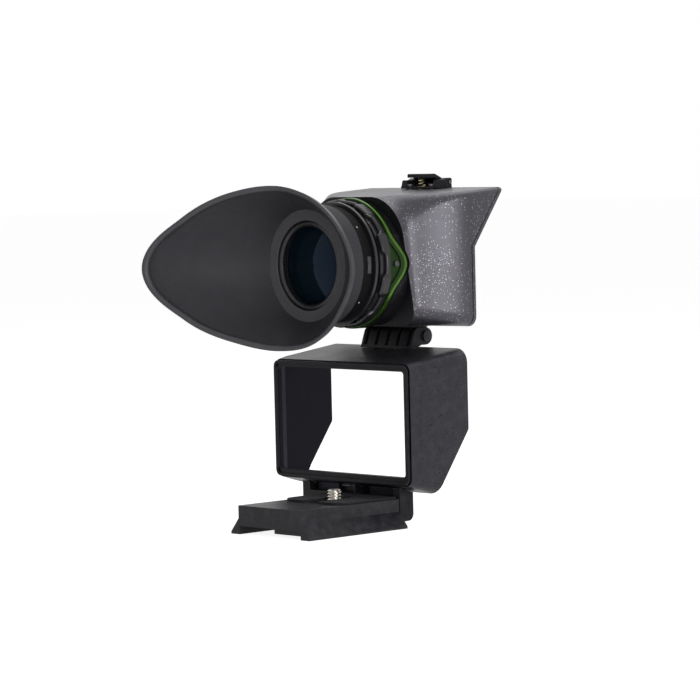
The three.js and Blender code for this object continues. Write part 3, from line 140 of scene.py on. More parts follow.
effectLooks = {
    "grain": {"detail": 3.0, "roughness": 0.6, "fine": 0.6, "cells": 0.6, "cellScale": 0.7,
              "broadScale": 90.0, "broadDetail": 2.0, "tops": 0.6, "tone": (0.3, 0.9)},
    "flecks": {"core": 0.5, "patchScale": 55.0, "patchDetail": 1.0, "patches": (0.35, 0.65, 0.3, 1.7)},
    "wearAndEdgeHighlight": {"detail": 4.0, "edges": (0.52, 0.62), "gaps": (0.4, 0.65)},
    "smears": {"detail": 5.0, "roughness": 0.65, "spread": (0.3, 0.7)},
    "lathe": {"detail": 2.0},
}


def newEffect(name, inputs, outputs):  # a node group whose sockets are all plain numbers
    tree = bpy.data.node_groups.new(name, "ShaderNodeTree")
    for label, value in inputs.items():
        socket = tree.interface.new_socket(label, in_out="INPUT", socket_type="NodeSocketFloat")
        socket.default_value = value
    for label in outputs:
        tree.interface.new_socket(label, in_out="OUTPUT", socket_type="NodeSocketFloat")
    return tree, tree.nodes.new("NodeGroupInput").outputs, tree.nodes.new("NodeGroupOutput")


def makeGrain():  # leathery moulding grain: a height, and a tone that lightens its tops
    look = effectLooks["grain"]
    tree, given, out = newEffect("mouldedGrain", {"Scale": 1500.0, "Unevenness": 0.5}, ("Height", "Tone"))
    fine = noiseNode(tree, given["Scale"], look["detail"], Roughness=look["roughness"])
    cells = addNode(tree, "ShaderNodeTexVoronoi", {
        "Vector": coordinates(tree), "Scale": mathNode(tree, "MULTIPLY", given["Scale"], look["cellScale"]),
    }, feature="SMOOTH_F1").outputs["Distance"]
    height = mathNode(tree, "ADD", mathNode(tree, "MULTIPLY", fine, look["fine"]),
                      mathNode(tree, "MULTIPLY", cells, look["cells"]))
    broad = noiseNode(tree, look["broadScale"], look["broadDetail"])
    broad = mathNode(tree, "MULTIPLY", broad, given["Unevenness"])
    tone = mathNode(tree, "ADD", mathNode(tree, "MULTIPLY", height, look["tops"]), broad)
    feed(tree, out, {"Height": height, "Tone": rangeNode(tree, tone, *look["tone"])})
    return tree


def makeFlecks():  # small flecks strewn over a surface, in thicker and thinner patches
    look = effectLooks["flecks"]
    tree, given, out = newEffect("brightFlecks", {"Scale": 700.0, "Size": 0.22, "Share": 0.2}, ("Mask",))
    inputs = {"Vector": coordinates(tree), "Scale": given["Scale"]}
    cells = addNode(tree, "ShaderNodeTexVoronoi", inputs).outputs
    chance = addNode(tree, "ShaderNodeSeparateColor", {0: cells["Color"]}).outputs[0]
    patches = rangeNode(tree, noiseNode(tree, look["patchScale"], look["patchDetail"]), *look["patches"])
    chosen = mathNode(tree, "LESS_THAN", chance, mathNode(tree, "MULTIPLY", given["Share"], patches))
    core = mathNode(tree, "MULTIPLY", given["Size"], look["core"])
    near = rangeNode(tree, cells["Distance"], core, given["Size"], 1.0, 0.0)
    feed(tree, out, {"Mask": mathNode(tree, "MULTIPLY", near, chosen)})
    return tree


def makeWearAndEdgeHighlight():  # paler edges, broken up by noise: partly rubbed bare, partly a painted highlight along the edges
    look = effectLooks["wearAndEdgeHighlight"]
    tree, given, out = newEffect("edgeWearAndHighlight", {"Amount": 0.5, "Breakup": 260.0}, ("Mask",))
    pointed = addNode(tree, "ShaderNodeNewGeometry").outputs["Pointiness"]
    gaps = rangeNode(tree, noiseNode(tree, given["Breakup"], look["detail"]), *look["gaps"])
    paleEdges = mathNode(tree, "MULTIPLY", rangeNode(tree, pointed, *look["edges"]), gaps)
    feed(tree, out, {"Mask": mathNode(tree, "MULTIPLY", paleEdges, given["Amount"])})
    return tree


def makeSmears():  # broad smears that dull a gloss here and there
    look = effectLooks["smears"]
    tree, given, out = newEffect("handlingSmears", {"Scale": 35.0, "Low": 0.3, "High": 0.45}, ("Roughness",))
    noise = noiseNode(tree, given["Scale"], look["detail"], Roughness=look["roughness"])
    feed(tree, out, {"Roughness": rangeNode(tree, noise, *look["spread"], given["Low"], given["High"])})
    return tree


def makeLathe():  # the fine lines that a lathe leaves round the optical axis
    tree, given, out = newEffect("latheLines", {"Scale": 2200.0}, ("Height",))
    inputs = {"W": partOf(tree, coordinates(tree), "Y"), "Scale": given["Scale"],
              "Detail": effectLooks["lathe"]["detail"]}
    lines = addNode(tree, "ShaderNodeTexNoise", inputs, noise_dimensions="1D")
    feed(tree, out, {"Height": lines.outputs[0]})
    return tree


effects = {
    "grain": makeGrain(), "flecks": makeFlecks(), "wearAndEdgeHighlight": makeWearAndEdgeHighlight(), "smears": makeSmears(),
    "lathe": makeLathe(),
}
print("effects built")


def useEffect(tree, name, **values):
    return addNode(tree, "ShaderNodeGroup", values, node_tree=effects[name]).outputs


# ---- materials

finishes = {
    "bodyMoulding": {
        "color": (0.018, 0.017, 0.021), "light": (0.032, 0.031, 0.037), "grain": 2600, "bump": 0.18,
        "rough": (0.33, 0.42), "flecks": (1350, 0.23, 0.55), "fleckColor": (0.52, 0.52, 0.55),
        "glint": True, "pits": (820, 0.2, 0.2), "wearAndEdgeHighlight": 0.2, "specular": 0.75, "tint": (0.93, 0.9, 1.0),
    },
    "frameMoulding": {
        "color": (0.009, 0.009, 0.0115), "light": (0.02, 0.02, 0.025), "grain": 1500, "bump": 0.35,
        "rough": (0.36, 0.46), "flecks": (900, 0.17, 0.12), "fleckColor": (0.12, 0.12, 0.15),
        "pits": (900, 0.26, 0.3), "wearAndEdgeHighlight": 0.3, "specular": 0.36, "uneven": 0.2, "tint": (0.9, 0.89, 1.0),
        # painted shade on the faces turned to the eye, and on the inner wall left of this
        "paintedShade": -0.02,
    },
    # a plain dull moulding; on the viewfinder body's near face and collar it stands for painted shade
    "plainMoulding": {
        "color": (0.005, 0.005, 0.0065), "light": (0.013, 0.013, 0.016), "grain": 1700, "bump": 0.15,
        "rough": (0.35, 0.5), "wearAndEdgeHighlight": 0.3, "specular": 0.14,
    },
    "matteBlack": {
        "color": (0.002, 0.002, 0.0024), "light": (0.005, 0.005, 0.006), "grain": 2000, "bump": 0.05,
        "rough": (0.6, 0.75), "wearAndEdgeHighlight": 0.1, "specular": 0.1,
    },
    "softRubber": {
        "color": (0.046, 0.045, 0.051), "light": (0.066, 0.064, 0.072), "grain": 2600, "bump": 0.1,
        "rough": (0.5, 0.62), "wearAndEdgeHighlight": 0.0, "specular": 0.1,
    },
    # the eyecup's rubber, paler as a painted highlight on its rolled rim
    "rimHighlightRubber": {
        "color": (0.075, 0.073, 0.082), "light": (0.1, 0.098, 0.108), "grain": 2600, "bump": 0.06,
        "rough": (0.4, 0.5), "wearAndEdgeHighlight": 0.0, "specular": 0.3,
    },
    "discRubber": {
        "color": (0.13, 0.127, 0.14), "light": (0.165, 0.162, 0.178), "grain": 2600, "bump": 0.06,
        "rough": (0.5, 0.6), "wearAndEdgeHighlight": 0.0, "specular": 0.2,
    },
    "padRubber": {
        "color": (0.012, 0.012, 0.014), "light": (0.028, 0.028, 0.033), "grain": 2000, "bump": 0.3,
        "rough": (0.6, 0.75), "wearAndEdgeHighlight": 0.1, "specular": 0.2,
    },
    "blackAnodising": {
        "color": (0.013, 0.0122, 0.0155), "light": (0.021, 0.0195, 0.0248), "grain": 3000, "bump": 0.05,
        "rough": (0.35, 0.45), "wearAndEdgeHighlight": 0.4, "specular": 0.2, "uneven": 0.2,
    },
    "turnedAnodising": {
        "color": (0.012, 0.0118, 0.0138), "light": (0.026, 0.0255, 0.029), "grain": 3000, "bump": 0.04,
        "lathe": 0.1, "rough": (0.22, 0.32), "wearAndEdgeHighlight": 0.5, "specular": 0.4,
    },
    # the green anodising in painted shade
    "shadedGreen": {
        "color": (0.009, 0.028, 0.004), "light": (0.016, 0.044, 0.007), "grain": 2500, "bump": 0.04,
        "rough": (0.45, 0.55), "wearAndEdgeHighlight": 0.2, "specular": 0.15,
    },
    "greenAnodising": {
        "color": (0.045, 0.115, 0.014), "light": (0.095, 0.21, 0.03), "grain": 2500, "bump": 0.04,
        "rough": (0.2, 0.32), "wearAndEdgeHighlight": 0.5, "specular": 0.5, "metal": 0.75,
    },
    "turnedSteel": {
        "color": (0.42, 0.39, 0.36), "light": (0.7, 0.67, 0.62), "grain": 2500, "bump": 0.05,
        "rough": (0.18, 0.32), "wearAndEdgeHighlight": 0.1, "specular": 0.5, "metal": 1.0,
    },
    "blackenedSteel": {
        "color": (0.03, 0.03, 0.033), "light": (0.1, 0.1, 0.105), "grain": 2500, "bump": 0.05,
        "rough": (0.25, 0.4), "wearAndEdgeHighlight": 0.4, "specular": 0.5, "metal": 0.8,
    },
    "springBrass": {
        "color": (0.5, 0.42, 0.26), "light": (0.85, 0.76, 0.55), "grain": 2000, "bump": 0.03,
        "rough": (0.14, 0.25), "wearAndEdgeHighlight": 0.1, "specular": 0.5, "metal": 1.0,
    },
    "whitePaint": {
        "color": (0.5, 0.5, 0.5), "light": (0.75, 0.75, 0.75), "grain": 2500, "bump": 0.05,
        "rough": (0.5, 0.6), "wearAndEdgeHighlight": 0.1, "specular": 0.4,
    },
    "greyPaint": {
        "color": (0.045, 0.045, 0.05), "light": (0.07, 0.07, 0.077), "grain": 2500, "bump": 0.05,
        "rough": (0.5, 0.6), "wearAndEdgeHighlight": 0.1, "specular": 0.4,
    },
}

# dark colours: pits in the grain, and the painted shade on the lcd frame
maskColors = {"pits": (0.002, 0.002, 0.003, 1.0), "paintedShade": (0.011, 0.011, 0.014, 1.0)}
surface = {"bump": 0.0003, "lathe": 10, "paleEdgeTimes": 2.5, "paleEdgeLift": 0.02, "turned": 0.5}


def opaque(color):
    return (*color, 1.0)


def newMaterial(name):
    material = bpy.data.materials.new(name)
    material.use_nodes = True
    return material, material.node_tree, material.node_tree.nodes["Principled BSDF"]


def paleEdge(color):
    return opaque(min(1.0, surface["paleEdgeTimes"] * part + surface["paleEdgeLift"]) for part in color)


def paintedShadeMask(tree, leftOf):  # painted shade on the faces turned to the eye, and on the inner wall on the far left
    facing = coordinates(tree, "Normal")
    left = mathNode(tree, "LESS_THAN", partOf(tree, coordinates(tree), "X"), leftOf)
    inward = mathNode(tree, "GREATER_THAN", partOf(tree, facing, "X"), surface["turned"])
    front = mathNode(tree, "LESS_THAN", partOf(tree, facing, "Y"), -surface["turned"])
    return mathNode(tree, "MAXIMUM", mathNode(tree, "MINIMUM", left, inward), front)


def makeFinish(name, look):
    material, tree, shader = newMaterial(name)
    grain = useEffect(tree, "grain", Scale=look["grain"], Unevenness=look.get("uneven", 0.5))
    color = mixColor(tree, grain["Tone"], opaque(look["color"]), opaque(look["light"]))
    metal = look.get("metal", 0.0)
    for kind in ("flecks", "pits"):
        if kind not in look:
            continue
        scale, size, share = look[kind]
        mask = useEffect(tree, "flecks", Scale=scale, Size=size, Share=share)["Mask"]
        tint = opaque(look["fleckColor"]) if kind == "flecks" else maskColors[kind]
        color = mixColor(tree, mask, color, tint)
        if kind == "pits" or "glint" in look:  # a metallic fleck mirrors the lamps, a metallic pit stays dark
            metal = mathNode(tree, "MAXIMUM", metal, mask)
    # pale edges: rubbed bare, and a painted highlight along the edges too
    paleEdges = useEffect(tree, "wearAndEdgeHighlight", Amount=look["wearAndEdgeHighlight"])["Mask"]
    color = mixColor(tree, paleEdges, color, paleEdge(look["light"]))
    if "paintedShade" in look:  # painted shade: these faces take a dark colour and stop reflecting
        mask = paintedShadeMask(tree, look["paintedShade"])
        color = mixColor(tree, mask, color, maskColors["paintedShade"])
        metal = mathNode(tree, "MAXIMUM", metal, mask)
    height = grain["Height"]
    if "lathe" in look:
        lines = useEffect(tree, "lathe")["Height"]
        lines = mathNode(tree, "MULTIPLY", lines, look["lathe"] * surface["lathe"])
        height = mathNode(tree, "ADD", height, lines)
    inputs = {"Height": height, "Strength": look["bump"], "Distance": surface["bump"]}
    bump = addNode(tree, "ShaderNodeBump", inputs)
    low, high = look["rough"]
    feed(tree, shader, {
        "Base Color": color, "Roughness": useEffect(tree, "smears", Low=low, High=high)["Roughness"],
        "Normal": bump.outputs[0], "Metallic": metal, "Specular IOR Level": look["specular"],
        "Specular Tint": opaque(look.get("tint", (1.0, 1.0, 1.0))),
    })
    return material


# the blue and green are the coating's reflection, painted into the glass colour
glassLook = {"blue": (0.0125, 0.025, 0.056, 1), "green": (0.01, 0.031, 0.044, 1), "patches": (45.0, 2.0),
             "share": (0.35, 0.65), "rough": (0.01, 0.06), "transmission": 0.35, "index": 1.52,
             "specular": 0.08, "tint": (0.2, 0.32, 0.6, 1.0)}


def makeGlass():  # dark coated glass, with the coating's reflection painted into its colour as blue and green patches
    look = glassLook
    material, tree, shader = newMaterial("coatedGlass")
    patches = rangeNode(tree, noiseNode(tree, *look["patches"]), *look["share"])
    low, high = look["rough"]
    feed(tree, shader, {
        "Base Color": mixColor(tree, patches, look["blue"], look["green"]),
        "Roughness": useEffect(tree, "smears", Low=low, High=high)["Roughness"],
        "Transmission Weight": look["transmission"], "IOR": look["index"],
        "Specular IOR Level": look["specular"], "Specular Tint": look["tint"],
    })
    return material


materials = {name: makeFinish(name, look) for name, look in finishes.items()}
materials["coatedGlass"] = makeGlass()
print("materials built:", len(materials))

# ---- mesh helpers, in millimetres from the camera screw's axis

edgeLook = {"flat": 0.6, "crisp": 32, "bevelFrom": 35, "segments": 2, "weight": 60}  # three angles, in degrees


def makeShading():  # smooth faces, with edges sharper than an angle kept crisp
    tree = bpy.data.node_groups.new("smoothShading", "GeometryNodeTree")
    for side in ("INPUT", "OUTPUT"):
        tree.interface.new_socket("Geometry", in_out=side, socket_type="NodeSocketGeometry")
    given = tree.nodes.new("NodeGroupInput").outputs[0]
    faces = addNode(tree, "GeometryNodeSetShadeSmooth", {0: given, 2: True}, domain="FACE").outputs[0]
    bend = addNode(tree, "GeometryNodeInputMeshEdgeAngle").outputs[0]
    sharp = addNode(tree, "FunctionNodeCompare", {0: bend, 1: math.radians(edgeLook["crisp"])},
                    data_type="FLOAT", operation="GREATER_THAN").outputs[0]
    edges = addNode(tree, "GeometryNodeSetShadeSmooth", {0: faces, 1: sharp, 2: False}, domain="EDGE")
    feed(tree, tree.nodes.new("NodeGroupOutput"), {0: edges.outputs[0]})
    return tree


shading = makeShading()


def finishMesh(piece, bevel, merge=False):
    if merge:
        flat = piece.modifiers.new("flat", "DECIMATE")
        flat.decimate_type = "DISSOLVE"
        flat.angle_limit = math.radians(edgeLook["flat"])
    if bevel:
        rounding = piece.modifiers.new("rounding", "BEVEL")
        rounding.width = bevel * 0.001
        rounding.segments = edgeLook["segments"]
        rounding.limit_method = "ANGLE"
        rounding.angle_limit = math.radians(edgeLook["bevelFrom"])
        rounding.use_clamp_overlap = True
        rounding.miter_outer = "MITER_ARC"
    smooth = piece.modifiers.new("smooth", "NODES")
    smooth.node_group = shading
    weights = piece.modifiers.new("weights", "WEIGHTED_NORMAL")
    weights.keep_sharp = True
    weights.weight = edgeLook["weight"]


def newPiece(name, skin, finish):
    points, faces = skin
    mesh = bpy.data.meshes.new(name)
    mesh.from_pydata([place(*point) for point in points], [], faces)
    work = bmesh.new()
    work.from_mesh(mesh)
    bmesh.ops.remove_doubles(work, verts=work.verts, dist=1e-7)
    bmesh.ops.recalc_face_normals(work, faces=work.faces)
    work.to_mesh(mesh)
    work.free()
    piece = bpy.data.objects.new(name, mesh)
    scene.collection.objects.link(piece)
    mesh.materials.append(materials[finish])
    return piece


def paintFaces(piece, names, choose):  # further finishes on some faces, picked by place and direction
    for name in names:
        piece.data.materials.append(materials[name])
    for face in piece.data.polygons:
        face.material_index = choose((face.center - origin) * 1000, face.normal)


replaced = set()


def addPiece(name, skin, finish, body, slot, *stands, jobs=(), paint=None, bevel=0.0):
    piece = newPiece(name, skin, finish)
    if jobs:
        carve(piece, *jobs)
    if paint:
        paintFaces(piece, *paint)
    finishMesh(piece, bevel)
    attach(piece, body)
    if stands:
        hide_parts(*stands)
        replaced.update(stands)
    return piece


def ringSkin(rings, closed=True):  # quads between rings with the same number of points
    count = len(rings[0])
    points = [point for ring in rings for point in ring]
    faces = []
    last = len(rings) if closed else len(rings) - 1
    for i in range(last):
        after = (i + 1) % len(rings)
        for k in range(count):
            nextK = (k + 1) % count
            faces.append((i * count + k, i * count + nextK, after * count + nextK, after * count + k))
    if not closed:
        faces.append(tuple(range(count)))
        faces.append(tuple((last * count) + k for k in reversed(range(count))))
    return points, faces


cornerLimits = {"reach": 0.45, "least": 1e-4, "straight": 0.999}


def roundedProfile(profile, radius, steps=3):  # rounds the corners of a closed outline
    points = []
    count = len(profile)
    for i, (x, y) in enumerate(profile):
        here = Vector((x, y))
        before = Vector(profile[i - 1]) - here
        after = Vector(profile[(i + 1) % count]) - here
        reach = min(radius, cornerLimits["reach"] * before.length, cornerLimits["reach"] * after.length)
        straight = abs(before.normalized().dot(after.normalized()))
        if reach < cornerLimits["least"] or straight > cornerLimits["straight"]:
            points.append((x, y))
            continue
        start = here + before.normalized() * reach
        end = here + after.normalized() * reach
        for step in range(steps + 1):
            point = blendCurve(start, here, end, step / steps)
            points.append((point.x, point.y))
    return points


axis = {"x": -10.0, "z": 114.224, "steps": 180}  # the optical axis


def axisPoint(radius, along, angle):
    return axis["x"] + radius * math.cos(angle), along, axis["z"] + radius * math.sin(angle)


def radiusAt(spot):
    return math.hypot(spot.x - axis["x"], spot.z - axis["z"])


def angleAt(spot):
    return math.atan2(spot.z - axis["z"], spot.x - axis["x"])


def aroundAxis(sectionAt, steps=axis["steps"]):  # the (radius, depth) outline may change with the angle
    rings = []
    for i in range(steps):
        angle = 2 * math.pi * i / steps
        rings.append([axisPoint(radius, along, angle) for radius, along in sectionAt(angle)])
    return ringSkin(rings)


def bandProfile(inside, outside, near, far):
    return [(inside, near), (outside, near), (outside, far), (inside, far)]


def clamp(value, low=0.0, high=1.0):
    return max(low, min(high, value))


def blendValue(first, second, share):
    return first + (second - first) * share


def blendCurve(start, bend, end, t):  # a point on a curve that is pulled towards the bend
    return start * (1 - t) ** 2 + bend * 2 * t * (1 - t) + end * t * t


def smoothStep(share):
    return share * share * (3 - 2 * share)


# ---- eyecup

eyecupSizes = {
    "neckRadius": 26.3, "bore": 23.3, "neckEnd": 5.4, "near": -3.6, "flangeOuter": 24.6, "flangeInner": 19.6,
    "flangeThickness": 1.5, "wall": 2.0, "bead": 1.6, "rimDepth": 16.93, "slopeRight": 0.24, "slopeLeft": 0.55,
    "bend": 0.42, "beadTilt": math.pi / 3, "reach": 37.2, "wallSteps": 16, "beadSteps": 12, "steps": 216,
    "taper": 0.2, "taperFrom": 0.5, "neckRounding": 0.35, "discEdge": 0.3, "rimShare": 1.12,
    "shares": (1, 0.954, 0.935, 0.952, 1.019, 1.199, 1.492, 1.207, 1.013, 0.981, 1.005, 0.978),
    "fillet": ((-0.7, 0.0), (-0.2, -0.02), (0.05, -0.2)),
}


def eyecupRim(angle):  # how far the rim reaches at an angle, and its depth
    size = eyecupSizes
    shares = size["shares"]
    count = len(shares)
    spot = (angle % (2 * math.pi)) * count / (2 * math.pi)
    first = int(spot) % count
    t = spot - int(spot)
    before, here, after, beyond = (shares[(first + k) % count] * size["reach"] for k in (-1, 0, 1, 2))
    slopeHere, slopeAfter = (after - before) / 2, (beyond - here) / 2
    reach = here + t * (slopeHere + t * (3 * (after - here) - 2 * slopeHere - slopeAfter
                                         + t * (slopeHere + slopeAfter - 2 * (after - here))))
    across = reach * math.cos(angle)
    slope = size["slopeRight"] if across > 0 else size["slopeLeft"]
    return reach, size["near"] - size["rimDepth"] + slope * across


def eyecupSection(angle):
    size = eyecupSizes
    reach, along = eyecupRim(angle)
    start = Vector((size["flangeOuter"], size["near"]))
    end = Vector((reach - size["wall"], along + size["bead"]))
    bend = Vector((blendValue(start.x, end.x, size["bend"]), blendValue(start.y, end.y, 1 - size["bend"])))
    inside, outside = [], []
    for i in range(1, size["wallSteps"]):
        t = i / size["wallSteps"]
        point = blendCurve(start, bend, end, t)
        tangent = ((bend - start) * (1 - t) + (end - bend) * t).normalized()
        taper = smoothStep(clamp((t - size["taperFrom"]) / (1 - size["taperFrom"])))
        outer = point + Vector((-tangent.y, tangent.x)) * (size["wall"] * (1 - size["taper"] * taper))
        inside.append((point.x, point.y))
        outside.append((outer.x, outer.y))
    bead = []
    for i in range(size["beadSteps"] + 1):
        turn = math.pi * (1 - i / size["beadSteps"]) + size["beadTilt"]
        bead.append((end.x + size["bead"] / 2 + size["bead"] * math.cos(turn),
                     end.y - size["bead"] * math.sin(turn)))
    flangeBack = size["near"] + size["flangeThickness"]
    neck = roundedProfile([
        (size["neckRadius"], flangeBack), (size["neckRadius"], size["neckEnd"]),
        (size["bore"], size["neckEnd"]), (size["bore"], flangeBack),
        (size["flangeInner"], flangeBack), (size["flangeInner"], size["near"]),
    ], size["neckRounding"], 2)
    fillet = [(size["flangeOuter"] + out, size["near"] + along) for out, along in size["fillet"]]
    return [*fillet, *inside, *bead, *reversed(outside), *neck]


def eyecupRubber(spot, normal):  # the lens surround is a paler, smoother rubber; the rolled rim is the same rubber, painted paler and glossier as a highlight
    size = eyecupSizes
    radius = radiusAt(spot)
    reach, along = eyecupRim(angleAt(spot))
    beadRadius, beadAlong = reach - size["wall"] + size["bead"] / 2, along + size["bead"]
    if radius < size["flangeOuter"] - size["discEdge"] and spot.y < size["near"] + size["discEdge"]:
        return 1
    return 2 if math.hypot(radius - beadRadius, spot.y - beadAlong) < size["bead"] * size["rimShare"] else 0


addPiece("eyecup_skin", aroundAxis(eyecupSection, eyecupSizes["steps"]), "softRubber",
         "eyecup", "rubber", "eyecup", paint=(("discRubber", "rimHighlightRubber"), eyecupRubber))
print("eyecup built")

# ---- eyepiece: tube, stop ring, bezel, spacer and lenses

turnedParts = {  # finish, rounding and the (radius, depth) outline
    "eyepiece_tube": ("matteBlack", 0.3, (
        (20.2, -1.8), (23.0, -1.8), (23.0, 5.7), (25.5, 5.7), (25.5, 11.5), (24.6, 11.5), (24.6, 32.8),
        (20.2, 32.8), (20.2, 21.4), (18.4, 21.4), (18.4, 19.9), (20.2, 19.9))),
    "stop_ring": ("turnedAnodising", 0.35, ((24.9, 11.8), (27.2, 11.8), (27.2, 13.3), (24.9, 13.3))),
    "lens_bezel": ("turnedAnodising", 0.2, (
        (17.0, -2.45), (17.8, -3.0), (18.4, -3.1), (19.3, -2.95), (19.3, -1.5), (19.9, -1.5), (19.9, 1.8),
        (18.4, 1.8), (18.2, 0.2), (17.4, -0.8))),
    "lens_spacer": ("matteBlack", 0.2, ((18.4, 6.4), (19.9, 6.4), (19.9, 15.3), (18.4, 15.3))),
}


def buildTurnedPart(node, finish, rounding, profile):
    section = roundedProfile(profile, rounding)
    addPiece(node + "_turned", aroundAxis(lambda angle: section), finish, "eyepiece", "anodised", node)


lensSizes = {"edge": 19.9, "clear": 18.1, "thickness": 4.0, "arris": 0.2, "back": (10, 1), "rings": 18,
             "steps": 144}


def buildLens(name, near, bulge, node):  # curved towards the eye and flat behind
    size = lensSizes
    edge, arris, steps = size["edge"], size["arris"], size["steps"]
    far = near + size["thickness"]
    shares = [i / size["rings"] for i in range(1, size["rings"] + 1)]
    profile = [(size["clear"] * share, near - bulge * (1 - share ** 2)) for share in shares]
    profile += [(edge - arris, near), (edge, near + arris), (edge, far - arris), (edge - arris, far)]
    profile += [(radius, far) for radius in size["back"]]
    rings = [[axisPoint(radius, along, 2 * math.pi * k / steps) for k in range(steps)]
             for radius, along in profile]
    addPiece(name, ringSkin(rings, closed=False), "coatedGlass", "eyepiece", "glass", node)


for node, settings in turnedParts.items():
    buildTurnedPart(node, *settings)
buildLens("eye_lens_ground", 2.1, 2.6, "eye_lens")
buildLens("inner_lens_ground", 15.6, 3.4, "inner_lens")
print("eyepiece built")

# ---- diopter ring with its finger lobes

diopterSizes = {"inside": 26.2, "radius": 28.1, "near": 15.8, "far": 20.5, "lobes": 9, "groove": 0.5,
                "grooveHalf": 13.0, "ease": 5.0, "chamfer": 0.6, "setback": 2.2, "rounding": 0.3, "steps": 360}


def diopterSection(angle):
    size = diopterSizes
    step = 360 / size["lobes"]
    away = abs((math.degrees(angle) + step / 2) % step - step / 2)
    dip = smoothStep(clamp((size["grooveHalf"] - away) / size["ease"]))
    radius = size["radius"] - size["groove"] * dip
    near = size["near"] + size["setback"] * dip
    outline = [(size["inside"], near), (radius - size["chamfer"], near), (radius, near + size["chamfer"]),
               (radius, size["far"]), (size["inside"], size["far"])]
    return roundedProfile(outline, size["rounding"])


addPiece("diopter_ring_lobed", aroundAxis(diopterSection, diopterSizes["steps"]), "turnedAnodising",
         "diopter_ring", "anodised", "diopter_ring")

# ---- green ring with its pointed lobes

lobeSizes = {"reach": 6.3, "half": 33.0, "sharpness": 1.35, "collarY": 24.0, "setback": 1.9, "width": 2.4,
             "inside": 27.5, "outside": 28.7, "apron": 1.3, "nearDrop": 0.6, "farDrop": 0.3, "crown": 0.12,
             "slope": 0.9, "flat": (-0.1, 0.6), "rounding": 0.2, "steps": 360}


def lobeAt(angle):  # how far the lobes, one on each side, reach back along the body
    side = abs(math.atan(math.tan(angle)))
    half = math.radians(lobeSizes["half"])
    if side >= half:
        return 0.0
    return lobeSizes["reach"] * ((1 + math.cos(math.pi * side / half)) / 2) ** lobeSizes["sharpness"]


def accentMiddle(angle):
    return lobeSizes["collarY"] - lobeSizes["setback"] + lobeAt(angle)


def accentSection(angle):
    size = lobeSizes
    middle, half = accentMiddle(angle), size["width"] / 2
    near = middle - half - min(lobeAt(angle), size["apron"])
    inside, outside = size["inside"], size["outside"]
    flatNear, flatFar = size["flat"]
    return roundedProfile([
        (inside, near), (outside - size["nearDrop"], near), (outside - size["crown"], middle - size["slope"]),
        (outside, middle + flatNear), (outside, middle + flatFar),
        (outside - size["farDrop"], middle + half), (inside, middle + half),
    ], size["rounding"])


def shadedSlope(spot, normal):  # painted shade: the ring's near edge gets a darker copy of its green
    return int(spot.y < accentMiddle(angleAt(spot)) - lobeSizes["slope"])


addPiece("accent_ring_lobed", aroundAxis(accentSection, lobeSizes["steps"]), "greenAnodising", "viewfinder",
         "green", "accent_ring", paint=(("shadedGreen",), shadedSlope))
print("rings built")

# ---- viewfinder body: a flaring loft with its cuts

bodySizes = {
    "start": 27.0, "flareFrom": 29.6, "mouth": 56.4, "end": 74.3, "nearHalf": 29.0, "farHalf": 43.0,
    "ease": 1.75, "easeIn": 0.06, "nearLow": 87.024, "bottom": 85.574, "nearTop": 143.224, "top": 146.074,
    "topRadii": (17.7, 2.5), "cornerEase": 4.0, "lowRadii": (9.0, 5.0), "wall": 2.2, "cornerSteps": 14,
    "leanRings": 6, "flareRings": 18, "mouthRings": 4, "fullAfter": 3, "collar": 28.7, "collarBore": 25.8,
    "collarSink": 1.1, "bore": 26.2, "boreFar": 29.3, "throat": 25.2, "lean": 0.145, "setback": 0.3,
    "slantLow": 120.478, "slantTop": 145.13, "collarEdge": 23.6, "flatFrom": 27.5, "lineSetback": 1.5,
    "lineWidth": 0.45, "lineDepth": 0.35, "lobeCut": (24.9, 20.8), "lobeGap": 0.1, "beyond": 80,
    "leafPocket": (-27.0, 3.6, 45.7, 56.3), "leafGap": 0.3, "latchSeat": (-21.8, 1.8, 64.8, 76, 145.85, 150),
    "springWell": (-10, 67.3, 144.374, 148, 2.3), "wellSteps": 20, "boreCut": (0.01, 18), "steps": 240,
    "underHalf": 30, "slantHalf": 50, "margin": 2,
}


def bodyOutline(along, inset=0.0):
    size = bodySizes
    share = clamp((along - size["flareFrom"]) / (size["mouth"] - size["flareFrom"]))
    share *= share * (1 + size["easeIn"]) / (share + size["easeIn"])
    topShare = clamp((along - size["start"]) / (size["end"] - size["start"]))
    half = blendValue(size["nearHalf"], size["farHalf"], 1 - (1 - share) ** size["ease"])
    topRadius = blendValue(*size["topRadii"], 1 - (1 - topShare) ** size["cornerEase"])
    lowRadius = blendValue(*size["lowRadii"], share)
    return {
        "left": axis["x"] - half + inset, "right": axis["x"] + half - inset,
        "low": blendValue(size["nearLow"], size["bottom"], share) + inset,
        "top": blendValue(size["nearTop"], size["top"], topShare) - inset,
        "radii": [max(radius - inset, 1.0) for radius in (topRadius, topRadius, lowRadius, lowRadius)],
    }


def circleOutline(radius):
    return {"left": axis["x"] - radius, "right": axis["x"] + radius, "low": axis["z"] - radius,
            "top": axis["z"] + radius, "radii": [radius] * 4}


def outlineRing(outline, along):
    steps = bodySizes["cornerSteps"]
    centres = [(outline["right"], outline["top"], -1, -1), (outline["left"], outline["top"], 1, -1),
               (outline["left"], outline["low"], 1, 1), (outline["right"], outline["low"], -1, 1)]
    ring = []
    for corner, (x, z, inX, inZ) in enumerate(centres):
        radius = outline["radii"][corner]
        for step in range(steps + 1):
            angle = math.pi / 2 * (corner + step / steps)
            ring.append((x + radius * (inX + math.cos(angle)), along, z + radius * (inZ + math.sin(angle))))
    return ring


def flareNear(z):  # the depth at which the body begins, at a height
    size = bodySizes
    return lobeSizes["collarY"] + size["setback"] + size["lean"] * (axis["z"] + size["collar"] - z)


